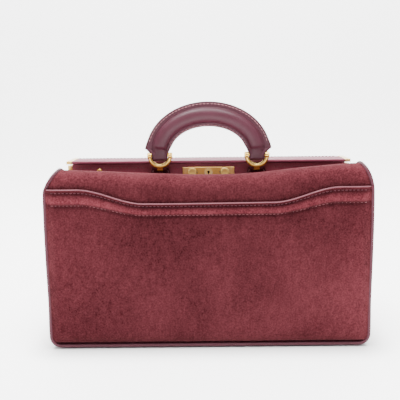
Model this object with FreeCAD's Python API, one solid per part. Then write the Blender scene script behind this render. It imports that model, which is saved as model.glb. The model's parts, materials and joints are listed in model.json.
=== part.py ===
"""Doctor bag with a hinged two-jaw frame, top flap, slide lock and shackled handle.

Millimetres, +Z up, +X along the bag, -Y to the front. The origin is on the ground under the bag's middle.
Each function makes one sub-part or one group of like sub-parts, with the hinge line at Y 0. save() moves it
back by HINGE_OFFSET, because the pocket adds depth at the front only, and writes it to parts/NODE.step.
"""

import FreeCAD
import Part

import math
import os

V = FreeCAD.Vector
X, Y, Z = V(1, 0, 0), V(0, 1, 0), V(0, 0, 1)
OUT = "parts"
SIDES = (("left", -1), ("right", 1))

# Bag body
BAG_WIDTH = 320.0
BAG_DEPTH = 150.0      # pocket and piping included
PIPING_R = 2.0
SUEDE = 2.8            # suede with its backing
LEATHER = 2.5          # gusset leather with its backing
GAP = 0.3              # room between soft pieces
LINING = 0.8
FOOT_HEIGHT = 3.0
FOOT_R = 7.5
BASE_PANEL = 2.0
BASE_BOARD = 3.0
PANEL_TOP = 162.0      # where the flat panels end and the shoulders begin
GUSSET_TOP = 148.0
CREST_Z = 174.0        # top of the shoulder
CREST_Y = 52.0
CORNER_R = 8.0         # bottom corners of the panels
NOTCH_Z = 152.0        # bottom of the V between the gusset folds

piping_x = BAG_WIDTH / 2 - PIPING_R
gusset_out = piping_x - 1.0
gusset_in = gusset_out - LEATHER
panel_half = gusset_out - 1.3
POCKET_SUEDE = 1.5
POCKET_ROOM = 4.7
SEAM_OUT = 0.2         # the piping's centre line stands this far out from the panels
pocket_depth = POCKET_SUEDE + POCKET_ROOM
panel_out = (BAG_DEPTH - pocket_depth - SEAM_OUT - PIPING_R) / 2
seam_y = panel_out + SEAM_OUT
pocket_out = panel_out + pocket_depth
panel_in = panel_out - SUEDE
HINGE_OFFSET = (pocket_out - seam_y - PIPING_R) / 2
base_top = FOOT_HEIGHT + BASE_PANEL
board_top = base_top + GAP + BASE_BOARD
lining_floor = board_top + GAP + LINING

# Pocket's wavy edge
POCKET_SIDE_Z = 159.2
POCKET_MID_Z = 144.2
WAVE_OUTER_X = 119.0
WAVE_INNER_X = 73.0
BINDING = 2.0
SEAM_WIDTH = 4.0

# Frame
PIVOT_Z = 138.5
PIN_R = 2.0
EYE_R = 6.0
LEG_T = 2.2
BACK_LEG_IN = 142.3
front_leg_in = BACK_LEG_IN + LEG_T + 0.4
frame_half = front_leg_in + LEG_T
JAW_FACE = 14.5        # outer face of the metal channel, from the middle
JAW_BACK = 1.0         # inner face of the metal channel
CHANNEL_T = 1.5
CHANNEL_BOTTOM = 163.0
FRONT_CHANNEL_TOP = 178.0
BACK_CHANNEL_TOP = 179.7
COVER_T = 1.5
COVER_BOTTOM = 158.5
cover_half = BACK_LEG_IN - 0.2
cover_top = FRONT_CHANNEL_TOP + 1.2
cover_face = JAW_FACE + COVER_T
FLAP_CORE_T = 1.4
FLAP_FRONT = 18.2
FLAP_BACK = 19.7
FLAP_SKIN = 1.4
FLAP_TOP = 182.7
flap_core_top = BACK_CHANNEL_TOP + FLAP_CORE_T

# Lock
PLATE_HALF = 27.0
PLATE_BOTTOM = 163.2
PLATE_TOP = 175.6
PLATE_T = 1.2
plate_face = cover_face + PLATE_T
LOCK_Z = 170.4
PLUG_R = 4.0
RING_R = 4.9
KNOB_X = 17.0
KNOB_R = 4.6
NECK_R = 1.4
KNOB_TRAVEL = 4.0
STRIKE_X = 8.0
STRIKE_T = 2.0
BOLT = 2.6
BOLT_Y = -9.0

# Shackles and handle
SHACKLE_X = 50.0
SHACKLE_Y = -23.0
SHACKLE_PIN_Z = 188.2
SHACKLE_R = 1.6
SHACKLE_HALF = 10.2
SHACKLE_FOOT_Z = 177.3
BRACKET_Y = -21.0
BRACKET_Z = 174.8
KNUCKLE_R = 2.0
BRACKET_PIN_R = 1.0
SHACKLE_PIN_R = 1.5
HANDLE_Z = 191.2
HANDLE_A, HANDLE_B = 52.0, 39.0        # centre line of the roll
OUTER_A, OUTER_B = 64.3, 52.0          # outer edge of the stitched flange
INNER_A, INNER_B = 40.6, 26.8          # inner edge
ROLL_R = 7.6
CORE_R = 6.3
FLANGE_T = 1.4
HANDLE_CUT_Z = 194.4
TAB_HALF = 7.6
TAB_LOOP_R = 3.3
STUD_X = 114.0
STUD_Z = 172.0
PAD_BOTTOM, PAD_TOP = 160.0, 175.4
RIVET_Z = 168.0


def save(name, shape):
    """Writes one node."""
    placed = shape.copy()
    placed.translate(V(0, HINGE_OFFSET, 0))
    if not placed.isValid():
        raise ValueError(name + " is not a valid shape")
    placed.exportStep(os.path.join(OUT, name + ".step"))


def group(shapes):
    """Several separate solids in one node."""
    return Part.makeCompound([s for shape in shapes for s in shape.Solids])


def box(x0, x1, y0, y1, z0, z1):
    return Part.makeBox(x1 - x0, y1 - y0, z1 - z0, V(x0, y0, z0))


def cylinder(radius, start, axis, length):
    return Part.makeCylinder(radius, length, start, axis)


def mirror_x(shape):
    return shape.mirror(V(0, 0, 0), X)


def mirror_y(shape):
    return shape.mirror(V(0, 0, 0), Y)


def on_side(shape, side):
    """The right-hand shape for side 1, and its mirror image for side -1."""
    return shape if side > 0 else mirror_x(shape)


def line(a, b):
    return Part.LineSegment(a, b).toShape()


def arc(a, middle, b):
    return Part.Arc(a, middle, b).toShape()


def prism(edges, direction):
    """A closed outline pushed along a direction."""
    return Part.Face(Part.Wire(edges)).extrude(direction)


def polygon_prism(points, direction):
    corners = points + points[:1]
    return prism([line(a, b) for a, b in zip(corners, corners[1:])], direction)


def round_panel(half, z0, z1, y0, y1, radius):
    """An upright panel across the bag with rounded bottom corners."""
    slope = radius * (1 - math.sqrt(0.5))
    edges = [
        line(V(-half, y0, z1), V(-half, y0, z0 + radius)),
        arc(V(-half, y0, z0 + radius), V(-half + slope, y0, z0 + slope), V(-half + radius, y0, z0)),
        line(V(-half + radius, y0, z0), V(half - radius, y0, z0)),
        arc(V(half - radius, y0, z0), V(half - slope, y0, z0 + slope), V(half, y0, z0 + radius)),
        line(V(half, y0, z0 + radius), V(half, y0, z1)),
        line(V(half, y0, z1), V(-half, y0, z1)),
    ]
    return prism(edges, V(0, y1 - y0, 0))


def foot_places():
    return [V(x, y, 0) for x in (-135, 135) for y in (-54, 54)]


def foot_holes(z0, z1):
    """Cutters for the feet's shanks."""
    shank = 1.7
    return Part.makeCompound([cylinder(shank, V(p.x, p.y, z0), Z, z1 - z0) for p in foot_places()])


# Body panels


def panels():
    """Front and back suede panels, flat up to the shoulders."""
    front = round_panel(panel_half, base_top + GAP, PANEL_TOP, -panel_out, -panel_in, CORNER_R)
    save("front_panel", front)
    save("back_panel", mirror_y(front))


def base():
    """Base panel, base board and feet."""
    half, depth = gusset_out, seam_y - PIPING_R - 0.1
    panel = box(-half, half, -depth, depth, FOOT_HEIGHT, base_top).cut(foot_holes(0, base_top + 1))
    save("base_panel", panel)
    board_half, board_depth = gusset_in - GAP, panel_in - GAP
    board = box(-board_half, board_half, -board_depth, board_depth, base_top + GAP, board_top)
    save("base_board", board.cut(foot_holes(0, board_top + 1)))
    feet = []
    for p in foot_places():
        pad = cylinder(FOOT_R, p, Z, FOOT_HEIGHT - 0.02)
        pad = pad.makeFillet(1.8, [e for e in pad.Edges if e.BoundBox.ZMax < 0.01])
        shank = cylinder(1.5, V(p.x, p.y, 1.0), Z, board_top - 1.0)
        feet.append(pad.fuse(shank).removeSplitter())
    save("base_feet", group(feet))


def gussets():
    """Side panels, each with a hole for the hinge pin."""
    for name, side in SIDES:
        depth = panel_in - GAP
        gusset = box(gusset_in, gusset_out, -depth, depth, base_top + GAP, GUSSET_TOP)
        hole = cylinder(PIN_R + 0.05, V(gusset_in - 1, 0, PIVOT_Z), X, LEATHER + 2)
        save(name + "_gusset", on_side(gusset.cut(hole), side))


def shoulder_profile(inset):
    """Points of the shoulder's curve in the front half, moved inwards by inset: start, top and end, with arc middles."""
    start = V(0, -panel_out + inset, PANEL_TOP + GAP)
    rise = V(0, -CREST_Y - 13.6 + inset * 0.75, CREST_Z - 3.8 - inset * 0.65)
    crest = V(0, -CREST_Y, CREST_Z - inset)
    fall = V(0, -33.0 - inset * 0.45, CREST_Z - 5.2 - inset * 0.9)
    end = V(0, -cover_face - 1.9 - inset * 0.75, COVER_BOTTOM + 0.8 - inset * 0.65)
    return start, rise, crest, fall, end


def shoulder_edges(inset):
    start, rise, crest, fall, end = shoulder_profile(inset)
    return [arc(start, rise, crest), arc(crest, fall, end)]


def shoulders():
    """The soft curved tops of the panels, from the flat panel over the crest and down to the frame."""
    outer, inner = shoulder_edges(0), shoulder_edges(SUEDE)
    a, b = shoulder_profile(0), shoulder_profile(SUEDE)
    edges = [*outer, line(a[4], b[4]), *inner, line(b[0], a[0])]
    face = Part.Face(Part.Wire(Part.sortEdges(edges)[0]))
    face.translate(V(-panel_half, 0, 0))
    front = face.extrude(V(2 * panel_half, 0, 0))
    save("front_shoulder", front)
    save("back_shoulder", mirror_y(front))


def gusset_folds():
    """Upper gussets, which fold between the legs as the jaws close."""
    inset = SUEDE + GAP
    front = shoulder_edges(inset)
    p = shoulder_profile(inset)
    back = [mirror_y(e) for e in front]
    q = [V(0, -v.y, v.z) for v in p]
    floor_z = GUSSET_TOP + GAP
    edge = p[0].y
    edges = [
        line(V(0, edge, floor_z), p[0]),
        *front,
        line(p[4], V(0, 0, NOTCH_Z)),
        line(V(0, 0, NOTCH_Z), q[4]),
        *back,
        line(q[0], V(0, -edge, floor_z)),
        line(V(0, -edge, floor_z), V(0, edge, floor_z)),
    ]
    face = Part.Face(Part.Wire(Part.sortEdges(edges)[0]))
    face.translate(V(gusset_in, 0, 0))
    fold = face.extrude(V(LEATHER, 0, 0))
    for name, side in SIDES:
        save(name + "_gusset_fold", on_side(fold, side))


def tube(path, radius, start, direction):
    """A round bar along a path."""
    circle = Part.Wire(Part.makeCircle(radius, start, direction))
    return Part.Wire(path).makePipeShell([circle], True, False)


def pipings():
    """Leather piping round the front and back panels, and along the ends of the shoulders."""
    y, radius = -seam_y, CORNER_R + PIPING_R + 0.2
    x, low, high = piping_x, base_top + GAP - PIPING_R - 0.1, PANEL_TOP
    bend = radius * (1 - math.sqrt(0.5))
    path = [
        line(V(-x, y, high), V(-x, y, low + radius)),
        arc(V(-x, y, low + radius), V(-x + bend, y, low + bend), V(-x + radius, y, low)),
        line(V(-x + radius, y, low), V(x - radius, y, low)),
        arc(V(x - radius, y, low), V(x - bend, y, low + bend), V(x, y, low + radius)),
        line(V(x, y, low + radius), V(x, y, high)),
    ]
    front = tube(path, PIPING_R, V(-x, y, high), V(0, 0, -1))
    save("front_piping", front)
    save("back_piping", mirror_y(front))
    curve = shoulder_edges(SEAM_OUT)
    for edge in curve:
        edge.translate(V(x, -2 * SEAM_OUT, 0))
    start = curve[0].Vertexes[0].Point
    bead = tube(curve, PIPING_R, start, curve[0].tangentAt(curve[0].FirstParameter))
    save("front_shoulder_piping", group([bead, mirror_x(bead)]))
    save("back_shoulder_piping", group([mirror_y(bead), mirror_x(mirror_y(bead))]))


def wave_edges(rise, y):
    """The pocket's top edge, raised by rise: flat at the sides, then an S-curve down to the middle."""
    high, low = POCKET_SIDE_Z + rise, POCKET_MID_Z + rise
    half, drop = (WAVE_OUTER_X - WAVE_INNER_X) / 2, POCKET_SIDE_Z - POCKET_MID_Z
    turn = math.atan2(drop / 2, half)              # chord of each half of the S
    radius = math.hypot(half, drop / 2) / (2 * math.sin(turn))
    dx, dz = radius * math.sin(turn), radius * (1 - math.cos(turn))
    side = []
    for s in (-1, 1):
        outer, inner = V(s * WAVE_OUTER_X, y, high), V(s * WAVE_INNER_X, y, low)
        middle = V(s * (WAVE_OUTER_X + WAVE_INNER_X) / 2, y, (high + low) / 2)
        side.append((
            line(V(s * panel_half, y, high), outer),
            arc(outer, V(outer.x - s * dx, y, high - dz), middle),
            arc(middle, V(inner.x + s * dx, y, low + dz), inner),
        ))
    middle_line = line(V(-WAVE_INNER_X, y, low), V(WAVE_INNER_X, y, low))
    return [*side[0], middle_line, *side[1]]


def pocket():
    """Outside slip pocket: its panel, the binding along its wavy edge, and the strip that closes its sides and bottom."""
    low, y = base_top + GAP, -pocket_out
    sheet = round_panel(panel_half, low, PANEL_TOP + 5, y, y + POCKET_SUEDE, CORNER_R)
    above = [
        *wave_edges(0, y),
        *[line(V(s * panel_half, y, POCKET_SIDE_Z), V(s * panel_half, y, FLAP_TOP)) for s in (-1, 1)],
        line(V(-panel_half, y, FLAP_TOP), V(panel_half, y, FLAP_TOP)),
    ]
    cutter = Part.Face(Part.Wire(Part.sortEdges(above)[0])).extrude(V(0, POCKET_SUEDE, 0))
    save("pocket_panel", sheet.cut(cutter))
    rim = [
        *wave_edges(0, y),
        *wave_edges(BINDING, y),
        *[line(V(s * panel_half, y, POCKET_SIDE_Z), V(s * panel_half, y, POCKET_SIDE_Z + BINDING)) for s in (-1, 1)],
    ]
    face = Part.Face(Part.Wire(Part.sortEdges(rim)[0]))
    save("pocket_binding", face.extrude(V(0, POCKET_SUEDE, 0)))
    y0, y1 = -pocket_out + POCKET_SUEDE, -panel_out
    whole = round_panel(panel_half, low, PANEL_TOP, y0, y1, CORNER_R)
    room = box(-panel_half + SEAM_WIDTH, panel_half - SEAM_WIDTH, y0 - 1, y1 + 1, low + SEAM_WIDTH, PANEL_TOP + 1)
    save("pocket_seam_strip", whole.cut(room))


def linings():
    """Thin lining panels inside the bag."""
    y = panel_in - GAP
    half = gusset_in - GAP - LINING - GAP
    front = box(-half, half, -y, -y + LINING, lining_floor + GAP, PANEL_TOP - 2)
    save("lining_front", front)
    save("lining_back", mirror_y(front))
    save("lining_base", box(-half, half, -y, y, lining_floor - LINING, lining_floor))
    side = box(half + GAP, half + GAP + LINING, -y, y, lining_floor + GAP, GUSSET_TOP - 2)
    side = side.cut(cylinder(EYE_R, V(half - 1, 0, PIVOT_Z), X, LINING + 4))
    for name, s in SIDES:
        save("lining_" + name, on_side(side, s))


# Frame


def hinge_pins():
    """Fixed pins that both jaws turn on, each with a spacer washer and two heads."""
    inner = BACK_LEG_IN - 0.3
    washers = []
    for name, side in SIDES:
        shank = cylinder(PIN_R, V(inner - 1.6, 0, PIVOT_Z), X, gusset_out + 0.2 - inner + 1.6)
        inner_head = cylinder(4.2, V(inner - 1.6, 0, PIVOT_Z), X, 1.6)
        outer_head = cylinder(5.0, V(gusset_out + 0.1, 0, PIVOT_Z), X, 1.5)
        rim = [e for e in outer_head.Edges if abs(e.BoundBox.XMax - outer_head.BoundBox.XMax) < 0.01
               and abs(e.BoundBox.XMin - outer_head.BoundBox.XMax) < 0.01]
        outer_head = outer_head.makeFillet(1.1, rim)
        save(name + "_hinge_pin", on_side(shank.fuse([inner_head, outer_head]).removeSplitter(), side))
        washer = cylinder(4.5, V(frame_half + 0.3, 0, PIVOT_Z), X, gusset_in - frame_half - 0.6)
        washer = washer.cut(cylinder(PIN_R + 0.1, V(frame_half, 0, PIVOT_Z), X, gusset_in - frame_half))
        washers.append(on_side(washer, side))
    save("hinge_washers", group(washers))


def leg(x0, y_face, y_back, top):
    """One leg of a jaw: an eye at the pivot that widens into the end of the channel."""
    eye = cylinder(EYE_R, V(x0, 0, PIVOT_Z), X, LEG_T)
    plate = polygon_prism(
        [
            V(x0, -EYE_R, PIVOT_Z),
            V(x0, EYE_R, PIVOT_Z),
            V(x0, y_back, CHANNEL_BOTTOM),
            V(x0, y_back, top),
            V(x0, y_face, top),
            V(x0, y_face, CHANNEL_BOTTOM),
        ],
        V(LEG_T, 0, 0),
    )
    hole = cylinder(PIN_R + 0.06, V(x0 - 1, 0, PIVOT_Z), X, LEG_T + 2)
    return eye.fuse(plate).cut(hole).removeSplitter()


def channel(half, y_face, y_back, top):
    """A metal channel across the bag, open at its underside."""
    whole = box(-half, half, y_face, y_back, CHANNEL_BOTTOM, top)
    t = CHANNEL_T
    return whole.cut(box(-half - 1, half + 1, y_face + t, y_back - t, CHANNEL_BOTTOM - 1, top - t))


def strike_slots():
    """Cutters that let the strikes out through the top and back of the front jaw."""
    room = 1.0
    slots = []
    for _, side in SIDES:
        slot = box(STRIKE_X - room, STRIKE_X + STRIKE_T + room, -13.2, 1.0, COVER_BOTTOM - 2, FLAP_TOP)
        slots.append(on_side(slot, side))
    return slots


def lock_openings(y0, y1):
    """Cutters for the plug and for the knobs' necks."""
    cutters = [cylinder(PLUG_R + 0.1, V(0, y0, LOCK_Z), Y, y1 - y0)]
    r = NECK_R + 0.3
    for _, side in SIDES:
        inner, outer = KNOB_X - KNOB_TRAVEL, KNOB_X
        slot = box(inner, outer, y0, y1, LOCK_Z - r, LOCK_Z + r)
        ends = [cylinder(r, V(x, y0, LOCK_Z), Y, y1 - y0) for x in (inner, outer)]
        cutters.append(on_side(slot.fuse(ends), side))
    return cutters


def front_jaw():
    """Front jaw: metal frame and leather cover."""
    bar = channel(front_leg_in, -JAW_FACE, -JAW_BACK, FRONT_CHANNEL_TOP)
    bar = bar.cut(strike_slots() + lock_openings(-20, -12))
    legs = leg(front_leg_in, -JAW_FACE, -JAW_BACK, FRONT_CHANNEL_TOP)
    save("front_jaw_frame", bar.fuse([legs, mirror_x(legs)]).removeSplitter())
    cover = box(-cover_half, cover_half, -cover_face, -GAP, COVER_BOTTOM, cover_top)
    room = box(-cover_half - 1, cover_half + 1, -JAW_FACE, -JAW_BACK, COVER_BOTTOM - 1, FRONT_CHANNEL_TOP)
    save("front_jaw_cover", cover.cut([room, *strike_slots(), *lock_openings(-20, -12)]))


def back_jaw():
    """Back jaw: metal frame, leather cover and the top flap that closes over the front jaw."""
    bar = channel(BACK_LEG_IN + 0.1, -JAW_FACE, -JAW_BACK, BACK_CHANNEL_TOP)
    legs = leg(BACK_LEG_IN, -JAW_FACE, -JAW_BACK, BACK_CHANNEL_TOP)
    save("back_jaw_frame", mirror_y(bar.fuse([legs, mirror_x(legs)]).removeSplitter()))
    cover = box(-cover_half, cover_half, GAP, cover_face, COVER_BOTTOM, BACK_CHANNEL_TOP)
    room = box(-cover_half - 1, cover_half + 1, JAW_BACK, JAW_FACE, COVER_BOTTOM - 1, BACK_CHANNEL_TOP + 1)
    save("back_jaw_cover", cover.cut(room))
    core_front, core_back = FLAP_FRONT - FLAP_SKIN, FLAP_BACK - FLAP_SKIN
    core = box(-cover_half, cover_half, -core_front, core_back, BACK_CHANNEL_TOP, flap_core_top)
    save("top_flap_core", core)
    skin = box(-cover_half, cover_half, -FLAP_FRONT, FLAP_BACK, BACK_CHANNEL_TOP - 0.15, FLAP_TOP)
    room = box(-cover_half - 1, cover_half + 1, -core_front, core_back, BACK_CHANNEL_TOP - 1, flap_core_top)
    tail = box(-cover_half - 1, cover_half + 1, GAP - 1, cover_face + 1, BACK_CHANNEL_TOP - 1, BACK_CHANNEL_TOP)
    save("top_flap_cover", skin.cut([room, tail]))
    cap = box(cover_half + 0.05, frame_half + 0.6, -FLAP_FRONT - 0.3, FLAP_BACK + 0.3, BACK_CHANNEL_TOP, FLAP_TOP + 0.3)
    rim = [e for e in cap.Edges if abs(e.BoundBox.ZMin - cap.BoundBox.ZMax) < 0.01]
    cap = cap.makeFillet(0.8, rim)
    for name, side in SIDES:
        save(name + "_flap_end_cap", on_side(cap, side))


def strikes():
    """Two plates under the flap, each with a window for a bolt."""
    y0, y1, bottom = BOLT_Y - 2.8, BOLT_Y + 2.8, LOCK_Z - 2.9
    clear = BOLT / 2 + 0.3
    for name, side in SIDES:
        plate = box(STRIKE_X, STRIKE_X + STRIKE_T, y0, y1, bottom, BACK_CHANNEL_TOP)
        window = box(STRIKE_X - 1, STRIKE_X + STRIKE_T + 1, BOLT_Y - clear, BOLT_Y + clear,
                     LOCK_Z - clear, LOCK_Z + clear)
        save(name + "_strike", on_side(plate.cut(window), side))


# Lock


def lock():
    """Lock plate with its ring, the case behind it, the key plug, and two knobs that carry the bolts."""
    plate = box(-PLATE_HALF, PLATE_HALF, -plate_face, -cover_face, PLATE_BOTTOM, PLATE_TOP)
    rim = [e for e in plate.Edges if abs(e.BoundBox.YMax + plate_face) < 0.01]
    plate = plate.makeChamfer(0.6, rim)
    ring = cylinder(RING_R, V(0, -plate_face - 0.8, LOCK_Z), Y, 1.0)
    save("lock_plate", plate.fuse(ring).cut(lock_openings(-22, -12)).removeSplitter())

    y0, y1 = -JAW_FACE + CHANNEL_T + 0.1, -JAW_BACK - CHANNEL_T - 0.1
    z0, z1, half, t = CHANNEL_BOTTOM + 0.8, FRONT_CHANNEL_TOP - CHANNEL_T - 0.1, PLATE_HALF - 1, 0.7
    case = box(-half, half, y0, y1, z0, z1).cut(box(-half + t, half - t, y0 + t, y1 - t, z0 + t, z1 - t))
    save("lock_case", case.cut(strike_slots() + lock_openings(-20, -11)))

    plug = cylinder(PLUG_R, V(0, -plate_face - 1.0, LOCK_Z), Y, plate_face - 7.0)
    keyhole = cylinder(1.3, V(0, -plate_face - 2, LOCK_Z), Y, 7).fuse(
        box(-0.6, 0.6, -plate_face - 2, -plate_face + 5, LOCK_Z - 3.1, LOCK_Z))
    save("lock_plug", plug.cut(keyhole))

    for name, side in SIDES:
        knob = cylinder(KNOB_R, V(KNOB_X, -plate_face - 3.0, LOCK_Z), Y, 2.7)
        rim = [e for e in knob.Edges if abs(e.BoundBox.YMax - knob.BoundBox.YMin) < 0.01]
        knob = knob.makeFillet(0.9, rim)
        dish = cylinder(2.6, V(KNOB_X, -plate_face - 4, LOCK_Z), Y, 1.6)
        neck = cylinder(NECK_R, V(KNOB_X, -plate_face - 2.0, LOCK_Z), Y, plate_face + 2.0 + BOLT_Y)
        save(name + "_knob", on_side(knob.cut(dish).fuse(neck).removeSplitter(), side))
        b = BOLT / 2
        bolt = box(STRIKE_X + STRIKE_T + 0.8, KNOB_X + 3.5, BOLT_Y - b, BOLT_Y + b, LOCK_Z - b, LOCK_Z + b)
        bolt = bolt.cut(cylinder(NECK_R, V(KNOB_X, -plate_face - 2, LOCK_Z), Y, plate_face + 2.0 + BOLT_Y))
        save(name + "_bolt", on_side(bolt, side))


# Handle


def dome_stud(x, z, y_face, radius, height):
    """A round-headed stud on a face that looks forward."""
    head = cylinder(radius, V(x, y_face - height, z), Y, height)
    rim = [e for e in head.Edges if e.BoundBox.YMax < y_face - height + 0.01]
    return head.makeFillet(height * 0.8, rim)


def brackets():
    """Leather pads, the shackles' hinge brackets, their pins and rivets, and the two studs further out."""
    pad_t = 0.9
    pad_face = cover_face + pad_t
    plate_y = pad_face + 1.0
    web_top = BRACKET_Z - 1.2
    pins, rivets = [], []
    for name, side in SIDES:
        pad = polygon_prism(
            [V(SHACKLE_X + dx, -cover_face, z) for dx, z in ((-13, PAD_BOTTOM), (13, PAD_BOTTOM), (8.5, PAD_TOP), (-8.5, PAD_TOP))],
            V(0, -pad_t, 0),
        )
        save(name + "_leather_pad", on_side(pad, side))
        plate = box(SHACKLE_X - 6.3, SHACKLE_X + 6.3, -plate_y, -pad_face, BRACKET_Z - 11.7, web_top)
        knuckles = []
        for x in (SHACKLE_X - 6.3, SHACKLE_X + 3.3):
            barrel = cylinder(KNUCKLE_R, V(x, BRACKET_Y, BRACKET_Z), X, 3.0)
            web = polygon_prism(
                [V(x, -plate_y, web_top - 3.5), V(x, -pad_face, web_top), V(x, BRACKET_Y, BRACKET_Z + 1.0),
                 V(x, BRACKET_Y - 1.4, BRACKET_Z - 1.4)],
                V(3.0, 0, 0),
            )
            knuckles += [barrel, web]
        hole = cylinder(BRACKET_PIN_R, V(SHACKLE_X - 7, BRACKET_Y, BRACKET_Z), X, 14)
        save(name + "_bracket", on_side(plate.fuse(knuckles).cut(hole).removeSplitter(), side))
        pin = cylinder(BRACKET_PIN_R, V(SHACKLE_X - 6.3, BRACKET_Y, BRACKET_Z), X, 12.6)
        pins.append(on_side(pin, side))
        rivets += [on_side(dome_stud(SHACKLE_X + dx, RIVET_Z, -plate_y, 1.7, 0.9), side) for dx in (-2.2, 2.2)]
    save("bracket_pins", group(pins))
    save("bracket_rivets", group(rivets))
    save("frame_studs", group([dome_stud(s * STUD_X, STUD_Z, -cover_face, 2.8, 1.6) for _, s in SIDES]))


def shackle_bar():
    """The shackle's round bar in the XZ plane, from one eye down and up to the other."""
    left, right = (V(side * SHACKLE_HALF, SHACKLE_Y, SHACKLE_PIN_Z) for side in (-1, 1))
    curve = arc(left, V(0, SHACKLE_Y, SHACKLE_FOOT_Z), right)
    return tube([curve], SHACKLE_R, left, curve.tangentAt(curve.FirstParameter))


def shackles():
    """Shackles that the handle hangs from, each with its cross pin."""
    eyes = [cylinder(2.7, V(s * SHACKLE_HALF - 1.6, SHACKLE_Y, SHACKLE_PIN_Z), X, 3.2) for s in (-1, 1)]
    lug = cylinder(KNUCKLE_R, V(-2.9, BRACKET_Y, BRACKET_Z), X, 5.8)
    web = polygon_prism(
        [V(-2.9, BRACKET_Y + 1.2, BRACKET_Z + 1.2), V(-2.9, BRACKET_Y - 1.6, BRACKET_Z - 0.9),
         V(-2.9, SHACKLE_Y - 1.1, SHACKLE_FOOT_Z), V(-2.9, SHACKLE_Y + 1.1, SHACKLE_FOOT_Z + 0.6)],
        V(5.8, 0, 0),
    )
    body = shackle_bar().fuse([lug, web, *eyes])
    body = body.cut([
        cylinder(BRACKET_PIN_R + 0.06, V(-4, BRACKET_Y, BRACKET_Z), X, 8),
        cylinder(SHACKLE_PIN_R, V(-20, SHACKLE_Y, SHACKLE_PIN_Z), X, 40),
    ]).removeSplitter()
    reach = SHACKLE_HALF + 1.6
    shank = cylinder(SHACKLE_PIN_R, V(-reach, SHACKLE_Y, SHACKLE_PIN_Z), X, 2 * reach)
    heads = []
    for s in (-1, 1):
        collar = cylinder(2.3, V(s * (reach + 0.5) - 0.5, SHACKLE_Y, SHACKLE_PIN_Z), X, 1.0)
        ball = Part.makeSphere(1.7, V(s * (reach + 1.6), SHACKLE_Y, SHACKLE_PIN_Z))
        heads += [collar, ball]
    pin = shank.fuse(heads).removeSplitter()
    for name, side in SIDES:
        for node, shape in ((name + "_shackle", body), (name + "_shackle_pin", pin)):
            placed = shape.copy()
            placed.translate(V(side * SHACKLE_X, 0, 0))
            save(node, placed)


def arch(a, b):
    """An ellipse round the handle's centre, in the XZ plane at Y 0."""
    return Part.Ellipse(V(a, 0, HANDLE_Z), V(0, 0, HANDLE_Z + b), V(0, 0, HANDLE_Z))


def arch_face(a, b):
    return Part.Face(Part.Wire(arch(a, b).toShape()))


def arch_tube(radius):
    """A round roll along the upper half of the handle's centre line, cut off at its ends."""
    path = Part.ArcOfEllipse(arch(HANDLE_A, HANDLE_B), 0, math.pi).toShape()
    start = path.valueAt(path.FirstParameter)
    roll = tube([path], radius, start, path.tangentAt(path.FirstParameter))
    return roll.common(box(-90, 90, -20, 20, HANDLE_CUT_Z, 260))


def handle():
    """Handle: core, front and back covers with stitched flanges, and the two tabs round the shackle pins."""
    core = arch_tube(CORE_R)
    roll = arch_tube(ROLL_R)
    flange = arch_face(OUTER_A, OUTER_B).cut(arch_face(INNER_A, INNER_B))
    flange = flange.extrude(V(0, 2 * FLANGE_T, 0))
    flange.translate(V(0, -FLANGE_T, 0))
    flange = flange.common(box(-90, 90, -20, 20, HANDLE_CUT_Z, 260))
    corner = polygon_prism([V(56, -20, 180), V(70, -20, 180), V(70, -20, 190)], V(0, 40, 0))
    flange = flange.cut([corner, mirror_x(corner)])
    whole = roll.fuse(flange).cut(core)
    split = 0.03
    front = whole.common(box(-90, 90, -20, -split, 170, 260))
    back = whole.common(box(-90, 90, split, 20, 170, 260))
    for node, shape in (("handle_core", core), ("handle_front_cover", front), ("handle_back_cover", back)):
        shape.translate(V(0, SHACKLE_Y, 0))
        save(node, shape)
    for name, side in SIDES:
        x = SHACKLE_X - TAB_HALF
        loop = cylinder(TAB_LOOP_R, V(x, SHACKLE_Y, SHACKLE_PIN_Z), X, 2 * TAB_HALF)
        stem = box(x, x + 2 * TAB_HALF, SHACKLE_Y - 3.4, SHACKLE_Y + 3.4, SHACKLE_PIN_Z, HANDLE_CUT_Z - 0.1)
        hole = cylinder(SHACKLE_PIN_R + 0.08, V(x - 1, SHACKLE_Y, SHACKLE_PIN_Z), X, 2 * TAB_HALF + 2)
        save(name + "_handle_tab", on_side(loop.fuse(stem).cut(hole).removeSplitter(), side))


def main():
    os.makedirs(OUT, exist_ok=True)
    for make in (panels, base, gussets, shoulders, gusset_folds, pipings, pocket, linings, hinge_pins,
                 front_jaw, back_jaw, strikes, lock, brackets, shackles, handle):
        make()


main()
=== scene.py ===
"""Doctor bag in suede with a leather-covered jaw frame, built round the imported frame.

Each operator builds one piece or one group of like pieces. Lengths are in metres, and a profile's points
are measured from the line that both jaws hinge on.
"""

import json
import math

import bpy
import numpy as np
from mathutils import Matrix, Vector, noise


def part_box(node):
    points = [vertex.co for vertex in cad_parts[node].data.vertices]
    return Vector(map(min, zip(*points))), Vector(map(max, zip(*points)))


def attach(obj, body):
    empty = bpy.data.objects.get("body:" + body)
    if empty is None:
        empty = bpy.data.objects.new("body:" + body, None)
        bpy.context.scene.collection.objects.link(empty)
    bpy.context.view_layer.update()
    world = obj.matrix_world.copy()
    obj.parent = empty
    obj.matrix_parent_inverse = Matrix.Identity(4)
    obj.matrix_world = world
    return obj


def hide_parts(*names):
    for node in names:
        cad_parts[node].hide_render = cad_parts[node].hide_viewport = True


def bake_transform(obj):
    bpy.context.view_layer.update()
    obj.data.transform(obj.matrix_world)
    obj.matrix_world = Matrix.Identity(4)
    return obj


bl_info = {
    "name": "Doctor Bag",
    "version": (1, 0, 0),
    "blender": (4, 5, 0),
    "location": "View3D > Sidebar > Doctor Bag",
    "description": "Builds a suede doctor bag round its packed frame",
    "category": "Add Mesh",
}

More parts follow.
